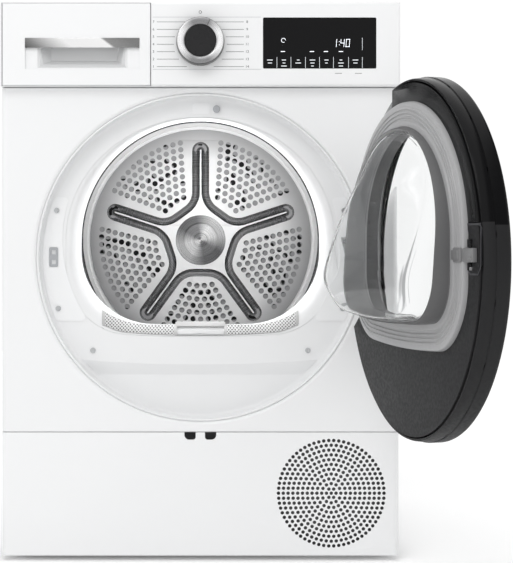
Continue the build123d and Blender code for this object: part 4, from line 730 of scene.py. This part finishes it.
# ======== lint filter
def lint_filter():
    shape = Shape()
    for side in (-1, 1):
        columns = []
        for share in spread(0, 1, 24):
            x = wing_inner + 3 + (wing_outer - wing_inner - 2.2) * share
            start, end = wing_span(x)
            levels = [start, start + 0.03] + spread(start + 0.05, end - 0.05, 6) + [end - 0.03, end]
            columns.append([funnel_point(t, side * x, 0.5) for t in levels])
        last_column, last_row = len(columns) - 2, len(columns[0]) - 2
        for k, (a, b) in enumerate(zip(columns, columns[1:])):
            for row in range(last_row + 1):
                rim = k in (0, last_column) or row in (0, last_row)
                shape.add([a[row], a[row + 1], b[row + 1], b[row]], [(0, 1, 2, 3)], 0 if rim else 1)
    shape.block((-98, 40, 210), (98, 44, 343), 1.0)
    build(shape, "lint_screen", "filter", "grey_plastic", [MESH_FRAME, FILTER_MESH], ["lint_filter"])

    half, arch_foot, arch_rise = 37, 338.8, 1.2  # the grip's front, with an arched lower edge
    face = [(-half, 346.2), (half, 346.2)]
    face += [(x, arch_foot + arch_rise * (1 - (x / half) ** 2)) for x in spread(half, -half, 16)]
    face = rounded(face, [2, 2] + [0] * 17, steps=4)
    middle = Vector([sum(c) / len(face) for c in zip(*face)])
    rings = []
    for inset, drop in rolled(1.5):
        spokes = [Vector(point) - middle for point in face]
        rings.append(at_depth([middle + s * (1 - inset / s.length) for s in spokes], 29.5 + drop))
    handle = Shape().loft(rings + [at_depth(face, 35)], caps=2)
    handle.block((-38.5, 41, 339), (38.5, 56.5, 351.5), 1.5).block((-37, 31, 337), (37, 43, 340.5), 1.0)
    build(handle, "filter_grip", "filter", "white_plastic", replaces=["filter_handle"])
    rings = []
    for x, drop in [(-38.5, 1.5), (-37, 0), (37, 0), (38.5, 1.5)]:
        profile = [(41, 349), (41, 351), (42.5, 352.6 - drop), (54.5, 357.5 - drop)]
        profile += [(56.5, 357 - drop), (57, 349)]
        rings.append([(x, front_y + d, z) for d, z in profile])
    bar = Shape().loft(rings, caps=2)
    build(bar, "filter_grip_bar", "filter", "grey_plastic", [MESH_FRAME])
    # painted shade: a dark block stands for the shade inside the grip's finger slot
    slot = Shape().block((-35, 36, 340), (35, 40.5, 344), 0.5)
    build(slot, "filter_finger_slot", "filter", "dark_plastic")


# ======== drum
def back_y(radius):
    """Face of the drum's back at a radius: it bulges a little towards the loading mouth."""
    return drum_plate_y - 2.0 - 7.0 * (1 - (radius / 205.0) ** 2)


def on_back(point):
    """Moves a point of a flat plate at y = 0 onto the drum's back."""
    x, y, z = point
    return x, y + back_y(hypot(x, z - drum_z)), z


def star(grow):
    """Outline of the five-armed star: a pointed one at grow = 0, widened evenly."""
    half, flat, fillet, tip = 1.5 + grow, 53.0 + grow, 47.0 - grow, 164.9
    root = (flat - half * sin(radians(36))) / cos(radians(36))
    local = [(root, -half), (tip, -half)]
    local += [(tip + half * sin(a), -half * cos(a)) for a in spread(0, pi, 10)[1:-1]]
    local += [(tip, half), (root, half)]
    points = []
    for arm in range(5):
        turn = radians(90 - 72 * arm)
        along_arm, across_arm = Vector((cos(turn), sin(turn))), Vector((sin(turn), -cos(turn)))
        spots = [along_arm * u + across_arm * v for u, v in local]
        points += [(spot.x, drum_z + spot.y) for spot in spots]
    radii = [fillet] + [0] * (len(local) - 2) + [fillet]
    return rounded(points, radii * 5, steps=8)


def drum_back():
    holes = []
    for petal in range(5):
        for row in range(9):
            radius, count = 182.5 - 12.3 * row, 12 - row
            pitch = degrees(14.0 / radius)
            for k in range(count):
                turn = 54 + 72 * petal + (k - (count - 1) / 2) * pitch
                holes.append(circle(arc_points(drum_axis, radius, turn, turn, 1)[0], 5.0, 14))
    sheet = Shape().plate([circle(drum_axis, 203, 144), star(14)] + holes, 0, 1.4, warp=on_back)
    build(sheet, "perforated_back", "drum", "stainless", [BACK_SHEET_PAINTED_SHADE], ["drum_back"], angle=20)

    # (growth of the star, height): the channel falls from the sheet to the star in the middle
    steps = [(14, 0), (13.2, 1.6), (11.2, 2.0), (10.4, 3.6), (5.6, 4.0), (4.8, 2.6), (2.6, 2.2), (1.6, 0.4)]
    steps.append((0, -1.6))
    channel = Shape().loft([[on_back((x, drop, z)) for x, z in star(grow)] for grow, drop in steps])
    build(channel, "back_channels", "drum", "stainless", [CHANNEL_STEEL_PAINTED_REFLECTION], angle=25)

    face = Shape().plate([star(0)], -1.6, -0.6, warp=on_back)
    y = back_y(203)
    rim = [(203, y), (204, y + 2.5), (208, y + 2.5), (209.5, y - 0.5), (262, 213.5), (276, 217), (283.5, 220.5)]
    face.revolve(rim, drum_axis, base=0)
    build(face, "back_star", "drum", "stainless", [STAR_STEEL], angle=25)

    # a sheet behind the perforations, painted grey and black as the shade seen through them
    inner = Shape().revolve([(0.5, 212.5), (200, 212.8)], drum_axis, steps=96, base=0)
    build(inner, "back_painted_shade_sheet", "drum", "stainless", [BEHIND_HOLES_PAINTED_SHADE])

    hub = [(46, 1), (45.4, -0.6), (44.6, -1.4), (43.6, -1.6), (32.5, -4.6), (31.6, -5.6), (30.6, -5.2)]
    hub += [(29.6, -6.0), (13.4, -8.6), (12.6, -9.4), (11.6, -8.8), (8.4, -9.4), (7.6, -10.2)]
    hub += [(5.4, -10.4), (4.8, -9.4), (4.2, -9.8), (3.6, -9.2), (0.3, -8.8)]
    hub = Shape().revolve(hub, drum_axis, steps=96, base=back_y(0) - 1.6)
    build(hub, "drum_hub", "drum", "stainless", [HUB_STEEL_PAINTED_HIGHLIGHT], angle=15)


# ======== control panel
SEGMENTS = {"0": "abcdef", "1": "bc", "4": "bcfg"}


def printed(shape, text, x, z, y):
    """Adds thin numerals about a point to a shape."""
    curve = bpy.data.curves.new("numeral", "FONT")
    curve.body, curve.size, curve.resolution_u = text, 5.4, 3
    curve.align_x = curve.align_y = "CENTER"
    points, faces = curve_mesh(curve)
    shape.add([(x + u, y, z + v) for u, v, _ in points], faces)


def bar(shape, x0, z0, x1, z1, y):
    shape.add([(x0, y, z0), (x1, y, z0), (x1, y, z1), (x0, y, z1)], [(0, 1, 2, 3)])


def dash(shape, x, z, half_width, half_height, y):
    bar(shape, x - half_width, z - half_height, x + half_width, z + half_height, y)


def digit(shape, value, x, z, y):
    """Seven-segment numeral with its lower left corner at (x, z), leaning a little."""
    width, height, gap, lean = 6.0, 11.95, 0.15, 0.08
    thick, half = height * 0.085, height / 2
    bars = {
        "a": (0, height - thick, width, height), "b": (width - thick, half, width, height),
        "c": (width - thick, 0, width, half), "d": (0, 0, width, thick), "e": (0, 0, thick, half),
        "f": (0, half, thick, height), "g": (0, half - thick / 2, width, half + thick / 2),
    }
    for name in SEGMENTS[value]:
        x0, z0, x1, z1 = bars[name]
        corners = [(x0 + gap, z0 + gap), (x1 - gap, z0 + gap), (x1 - gap, z1 - gap), (x0 + gap, z1 - gap)]
        shape.add([(x + u + lean * v, y, z + v) for u, v in corners], [(0, 1, 2, 3)])


def dial_marks():
    """Plain numbers on both sides of the knob, with a line from each to it."""
    y = fascia_y - 0.15
    ink = Shape()
    for row, reach in enumerate((20, 32, 38, 39.5, 38, 32, 20)):
        z = 808.8 - 11.13 * row
        for side in (-1, 1):
            printed(ink, str(7 - row if side < 0 else 8 + row), side * 70, z, y)
            bar(ink, side * 65, z - 0.3, side * reach, z + 0.3, y)
    ink.revolve([(2.3, y), (1.7, y)], (0, 823.56), steps=24, base=0)
    for x0, x1 in ((201.05, 211.51), (230.93, 241.38)):
        bar(ink, x0, 731.7, x1, 732.3, y)
    faint = Shape()
    for z in (816.0, 738.0):
        bar(faint, -71, z - 0.25, display_low.x - 3, z + 0.25, y)
    build(faint, "panel_hairlines", "cabinet", "grey_plastic")
    build(ink, "dial_marks", "cabinet", "dark_plastic", [INK])


def knob():
    face = [(23.6, -16), (24.4, -18.6), (25.6, -19.4), (31.5, -19.8), (34.4, -19)]
    side = [(34.4, -19), (35.1, -17.6), (35.4, -14), (36, -1.5), (35.4, 0)]
    # the side, marked 1, takes the knob's painted shade
    ring = Shape().revolve(face, knob_axis, base=knob_y).revolve(side, knob_axis, mark=1, base=knob_y)
    build(ring, "knob_ring", "selector", "stainless", [KNOB_STEEL_PAINTED_HIGHLIGHT, KNOB_SIDE_PAINTED_SHADE], ["selector_ring"])
    cap = [(23.5, 0), (23.5, -16.5), (23, -17.2), (20, -17.3), (0.3, -16.6)]
    cap = Shape().revolve(cap, knob_axis, steps=96, base=knob_y)
    build(cap, "knob_disc", "selector", "display_black", [DISC_BLACK], ["selector_cap"])
    turn = radians(65)
    outward, across = Vector((cos(turn), sin(turn))), Vector((-sin(turn), cos(turn)))
    corners = [outward * u + across * v for u, v in [(24.6, -0.45), (34, -0.45), (34, 0.45), (24.6, 0.45)]]
    mark = Shape().add([(c.x, knob_y - 20.0, knob_z + c.y) for c in corners], [(0, 1, 2, 3)])
    build(mark, "knob_mark", "selector", "dark_plastic", [INK])


def display():
    y = display_low.y - 0.2
    bright, dim = Shape(), Shape()
    for value, x in zip("140", (197.47, 208.82, 216.89)):
        digit(bright, value, x, 771.28, y)
    for z in (779.5, 774.57):
        dash(bright, 207.62, z, 0.5, 0.5, y)
    for x in (123.38, 166.7, 187.61, 210.01):
        dash(bright, x, 764.56, 3.2, 0.5, y)
    for x in (114.42, 135.33, 156.99, 178.05, 198.81, 221.37, 241.98):
        bar(dim, x - 0.25, 739.92, x + 0.25, 756.35, y)
    bar(dim, 241.73, 766.8, 242.23, 785.18, y)
    for k, x in enumerate((103.96, 124.87, 146.23, 167.44, 188.36, 210.01, 231.67)):
        for row in range(2 + k % 2):
            dash(dim, x, 751.87 - 4.48 * row, 4.2 - 1.1 * ((k + row) % 3), 0.55, y)
    bright.revolve([(3.4, y), (2.7, y)], (124.13, 781.29), 0, 300, 24, base=0)
    build(bright, "display_digits", "cabinet", "display_black", [GLOW])
    build(dim, "display_marks", "cabinet", "display_black", [GLOW_DIM])


def drawer_scoop():
    """Grip of the water drawer: side facets and a deeper pocket, laid over the plain one, in white plastic painted
    grey as shade.
    """
    left, right, top = -235.86, -118.6, 784.3
    rings = []
    for depth, bottom, below, above in [  # left and right ends below and above
        (4.05, 738.8, (bar_low.x, bar_high.x), (bar_low.x, bar_high.x)),
        (9, 746, (left, right), (left - 6, right + 6)),
        (21, 753, (left + 12, right - 7), (left + 9, right - 4)),
    ]:
        corners = [(x, bottom) for x in below] + [(x, top) for x in reversed(above)]
        rings.append([(x, fascia_y + depth, z) for x, z in corners])
    shape = Shape().loft(rings, caps=1)
    build(shape, "drawer_scoop", "condensate_drawer", "white_plastic", [SCOOP_PAINTED_SHADE], angle=12)


# ======== door, drawn shut
cover_radius = 234.0
seam_z = 504.0  # the glossy upper part of cover and rim ends here
cut_start, cut_end = -25.0, 75.0  # hinge side, where the back cover stops at the seal ring
BOWL_FACE = [(-157, 56), (-105.5, 68), (-52, 86), (92, 39), (186.5, 37)]  # (height, depth)


def split_ring(outer, inner, upper):
    """Closed outline between two outlines that start at angle 0, above or below the seam."""
    edge = seam_z + (0.4 if upper else -0.4)

    def kept(points):
        fall = next(k for k in range(len(points)) if points[k][1] >= seam_z > points[k + 1][1])
        ordered = points if upper else points[fall + 1:] + points[:fall + 1]
        part = [p for p in ordered if (p[1] > seam_z + 0.4) == upper and abs(p[1] - seam_z) > 0.4]
        return [(part[0][0], edge)] + part + [(part[-1][0], edge)]

    return kept(outer) + kept(inner)[::-1]


def d_ring(inset, depth, slant=0.0):
    """D outline of the door's window. A slant deepens it towards the bottom."""
    height = window_rise + window_drop
    top = drum_z + window_rise
    return [(x, front_y + depth + slant * (top - z) / height, z) for x, z in d_outline(inset)]


def polar(radius, turn, depth):
    return (radius * cos(radians(turn)), front_y + depth, door_z + radius * sin(radians(turn)))


def cover_edge(turn):
    """Radius of the back cover's edge in a direction given in degrees."""
    turn = (turn + 180) % 360 - 180
    if cut_start <= turn <= cut_end:
        points = [(degrees(atan2(z - door_z, x)), hypot(x, z - door_z)) for x, z in d_outline(0.5)]
        for (a0, r0), (a1, r1) in zip(points, points[1:] + points[:1]):
            if a0 <= turn <= a1 and a1 - a0 < 90:
                return r0 + (r1 - r0) * (turn - a0) / max(a1 - a0, 1e-9)
    return cover_radius


def bowl_depth(z):
    """Depth of the bowl's face at height z, its corners smoothed."""
    return sum(along(BOWL_FACE, z - drum_z + shift) for shift in spread(-16, 16, 8)) / 9


def door_rim():
    profile = [(196.8, -19.5), (196.8, -26.2), (198, -26.4), (234, -21.5)]
    profile += [(236.4 + 5.4 * sin(a), -15.6 - 5.4 * cos(a)) for a in spread(0.1, pi / 2, 6)]
    rear = [(240.6, -0.6), (241, 0.4), (239.6, 12), (238.6, 14.6), (236, 15), (236, -19)]
    rim = Shape().revolve(profile + [(241.9, -2), (240.6, -0.6)], door_axis, steps=240)
    rim.revolve(rear, door_axis, cut_end, 360 + cut_start, 200)
    columns = []
    for a in spread(cut_start, cut_end, 60):
        inner = cover_edge(a)
        steps = [(240.6, -0.6), (239, 1.5), (inner + 3, 14), (inner, 15.5)]
        columns.append([polar(r, a, d) for r, d in steps])
    rim.loft(columns, loop=False)
    for a in (cut_start, cut_end):
        end = [polar(r, a, d) for r, d in rear] + [polar(cover_edge(a), a, 17)]
        rim.add(end, [tuple(range(len(end)))])
    for k, face in enumerate(rim.faces):
        rim.marks[k] = 0 if sum(rim.points[p][2] for p in face) / len(face) > seam_z else 1
    materials = [SKIN["door_black"], SKIN["door_charcoal"]]
    build(rim, "door_outer_rim", "door", "door_black", materials, ["door_rim"])


def door_window():
    pane = [(0.2, 31.2), (60, 30.9), (110, 30.3), (150, 29), (180, 27.4), (194, 26.5), (195.8, 25.6)]
    pane += [(195.8, 23.4), (194, 22.8), (180, 23.4), (150, 25), (110, 26.3), (60, 26.9), (0.2, 27.2)]
    glass = Shape().revolve([(r, -out) for r, out in pane], door_axis)
    build(glass, "door_window", "door", "smoked_glass", replaces=["door_glass"])
    mask = Shape().plate([circle(door_axis, 196, 144), d_outline(10)], -22, -21)
    build(mask, "door_window_mask", "door", "smoked_glass", [SKIN["display_black"]])


def door_cover():
    cover = Shape()
    edge = [polar(cover_edge(a), a, 0)[::2] for a in spread(0, 360, 240)[:-1]]
    for mark, upper in enumerate((True, False)):
        cover.plate([split_ring(edge, d_outline(8), upper)], 13.5, 17.6, 0.6, mark)
    pocket = [(-238, 503), (-199, 503), (-199, 448), (-207, 441), (-230, 441), (-238, 450)]
    pocket = rounded(pocket, [0, 2, 2, 2, 2, 0])
    middle = Vector((-219, 473))
    steps = [(1, 18.0), (1, 18.4), (0.94, 18.2), (0.80, 13.9)]
    spokes = [Vector(p) - middle for p in pocket]
    rings = [at_depth([middle + spoke * share for spoke in spokes], depth) for share, depth in steps]
    cover.loft(rings, caps=1, mark=2)
    materials = [SKIN["door_black"], SKIN["door_charcoal"], SKIN["dark_plastic"]]
    build(cover, "door_back_cover", "door", "door_charcoal", materials, ["door_inner_frame"])
    tunnel = [(38, 14), (41.2, 14), (41.6, 6), (41.0, -3), (9, -19), (8, -21)]
    tunnel = Shape().loft([d_ring(inset, depth) for inset, depth in tunnel])
    build(tunnel, "door_window_wall", "door", "door_charcoal", [WALL_GREY])


def door_seal():
    """Ribbed seal ring, and the slanted collar that holds the bowl."""
    face = [(3.2, 17.4), (3.6, 21.6), (4.6, 23.2), (6.4, 24)]
    for rib in (13, 18.5, 24):
        face += [(rib - 1.6, 24), (rib - 0.8, 25.3), (rib + 0.8, 25.3), (rib + 1.6, 24)]
    face += [(28, 24.2), (29.4, 26.6), (31, 27), (36.2, 27)]
    collar = [(36.2, 27), (37.2, 28), (38, 31.6, 22), (38.8, 33, 22), (40.2, 33, 22)]
    inside = [(40.2, 33, 22), (41, 32, 22), (41.2, 16), (41.2, 13.5)]
    ring = Shape()
    for profile, mark in ((face, 0), (collar, 1), (inside, 0)):
        ring.loft([d_ring(*step) for step in profile], mark=mark)
    build(ring, "door_seal_ring", "door", "ring_grey", [SKIN["ring_grey"], COLLAR_GREY], ["door_ring"])


def door_bowl():
    outline = d_outline(42.2)
    middle_z = drum_z + 10
    steps = [(1, 9), (0.995, 4.5), (0.975, 1.4), (0.94, 0.2)]  # (size, depth short of the face)
    steps += [(share, 0) for share in (0.88, 0.75, 0.6, 0.45, 0.3, 0.15, 0.01)]
    rings = [at_depth(outline, 18.3)]
    for share, short in steps:
        ring = [(x * share, middle_z + (z - middle_z) * share) for x, z in outline]
        rings.append([(x, front_y + bowl_depth(z) - short, z) for x, z in ring])
    shape = Shape().loft(rings, caps=1)
    bowl = build(shape, "door_bowl", "door", "clear_glass", replaces=["glass_bowl"])
    thickness = bowl.modifiers.new("wall", "SOLIDIFY")
    thickness.thickness, thickness.offset = 0.0028, -1.0


def door_latch():
    latch = Shape().block((-196, 23, 456), (-166, 26.4, 474), 1.6)
    latch.block((-192, 26, 459), (-170, 27.2, 471), 2.0).block((-226, 17, 456.5), (-195, 24, 473.5), 1.2)
    for z in (447, 459):
        latch.block((-225, 23, z), (-221, 25.4, z + 4), 0.6)
    build(latch, "door_latch", "door", "dark_plastic", [LATCH_GREY], ["door_hook"])
    # painted shade: near-black blocks stand for the dark inside the latch slots
    slots = Shape()
    for z0, z1 in ((474.5, 484), (446.5, 455.5)):
        slots.block((-212, 17.5, z0), (-196, 19, z1), 0.6)
    build(slots, "door_latch_slots", "door", "dark_plastic", [SKIN["display_black"]])


# ======== finish and studio
def finish_nodes():
    """Gives the frame's own nodes their material, and their edges a small rounding."""
    for row in frame["record"]["subparts"]:
        node = frame["nodes"][row["node"]]
        node.data.materials.clear()
        node.data.materials.append(SKIN[row["material_slot"]])
        weld = node.modifiers.new("weld", "WELD")
        weld.merge_threshold = 1e-6
        edge = node.modifiers.new("edge", "BEVEL")
        edge.width, edge.segments, edge.limit_method, edge.angle_limit = 0.0004, 2, "ANGLE", radians(40)
        edge.harden_normals = True


def studio_camera():
    scene = bpy.context.scene
    scene.view_settings.view_transform = "Standard"
    data = bpy.data.cameras.new("camera")
    data.sensor_width, data.sensor_fit, data.lens = 36, "AUTO", 95.2
    data.shift_x, data.shift_y = 0.0968, -0.0737
    data.clip_start, data.clip_end = 0.05, 50
    camera = bpy.data.objects.new("camera", data)
    camera.location, camera.rotation_euler = (0.0025, -2.5305, 0.483), (pi / 2, 0, 0)
    scene.collection.objects.link(camera)
    scene.camera = camera


def studio_world():
    """Pale room that grows lighter upwards, and shows white behind the object."""
    bpy.context.scene.world = world = bpy.data.worlds.new("studio")
    n = Nodes(world, "Background")
    ray = n.node("LightPath").outputs
    place = n.node("SeparateXYZ", {0: n.node("TexCoord").outputs["Generated"]}).outputs
    height = n.ramp(place["Z"], 0.74, 1.02, (-1, 1))
    # dark flags either side of the studio, seen only in glossy reflections
    stops = [(0.0, 1.0), (0.45, 1.0), (0.58, 0.10), (0.80, 0.10), (0.90, 0.9), (1.0, 1.0)]
    flags = n.greys(n.math("ABSOLUTE", place["X"]), stops, "EASE")
    tone = n.math("MULTIPLY", height, n.blend(ray["Is Glossy Ray"], 1.0, flags))
    seen = n.math("MAXIMUM", ray["Is Camera Ray"], ray["Is Transmission Ray"])
    n.set(Color=(1, 1, 1, 1), Strength=n.blend(seen, tone, 1.02))


def lamp(name, kind, energy, spot, **settings):
    data = bpy.data.lights.new(name, kind)
    data.energy = energy
    for key, value in settings.items():
        setattr(data, key, value)
    light = bpy.data.objects.new(name, data)
    light.location = spot
    light.visible_camera = light.visible_transmission = False
    bpy.context.scene.collection.objects.link(light)
    return light


def studio_lamps():
    softbox = lamp("softbox", "AREA", 14, (-0.5, -2.2, 2.4), shape="RECTANGLE", size=1.6, size_y=1.12)
    aim = Vector((0, 0, 0.45)) - softbox.location
    softbox.rotation_euler = aim.to_track_quat("-Z", "Y").to_euler()
    lamp("drum_fill", "POINT", 3.4, (0, -0.12, 0.60), shadow_soft_size=0.06).visible_glossy = False


def studio_floor():
    mesh = bpy.data.meshes.new("floor")
    mesh.from_pydata([(-4, -4, 0), (4, -4, 0), (4, 4, 0), (-4, 4, 0)], [], [(0, 1, 2, 3)])
    mesh.materials.append(floor_material())
    floor = bpy.data.objects.new("floor", mesh)
    bpy.context.scene.collection.objects.link(floor)


finish_nodes()
for make in (
    front_panel, plinth, bearing_shield, lint_filter, drum_back, dial_marks, knob, display, drawer_scoop,
    door_rim, door_window, door_cover, door_seal, door_bowl, door_latch,
    studio_camera, studio_world, studio_lamps, studio_floor,
):
    make()
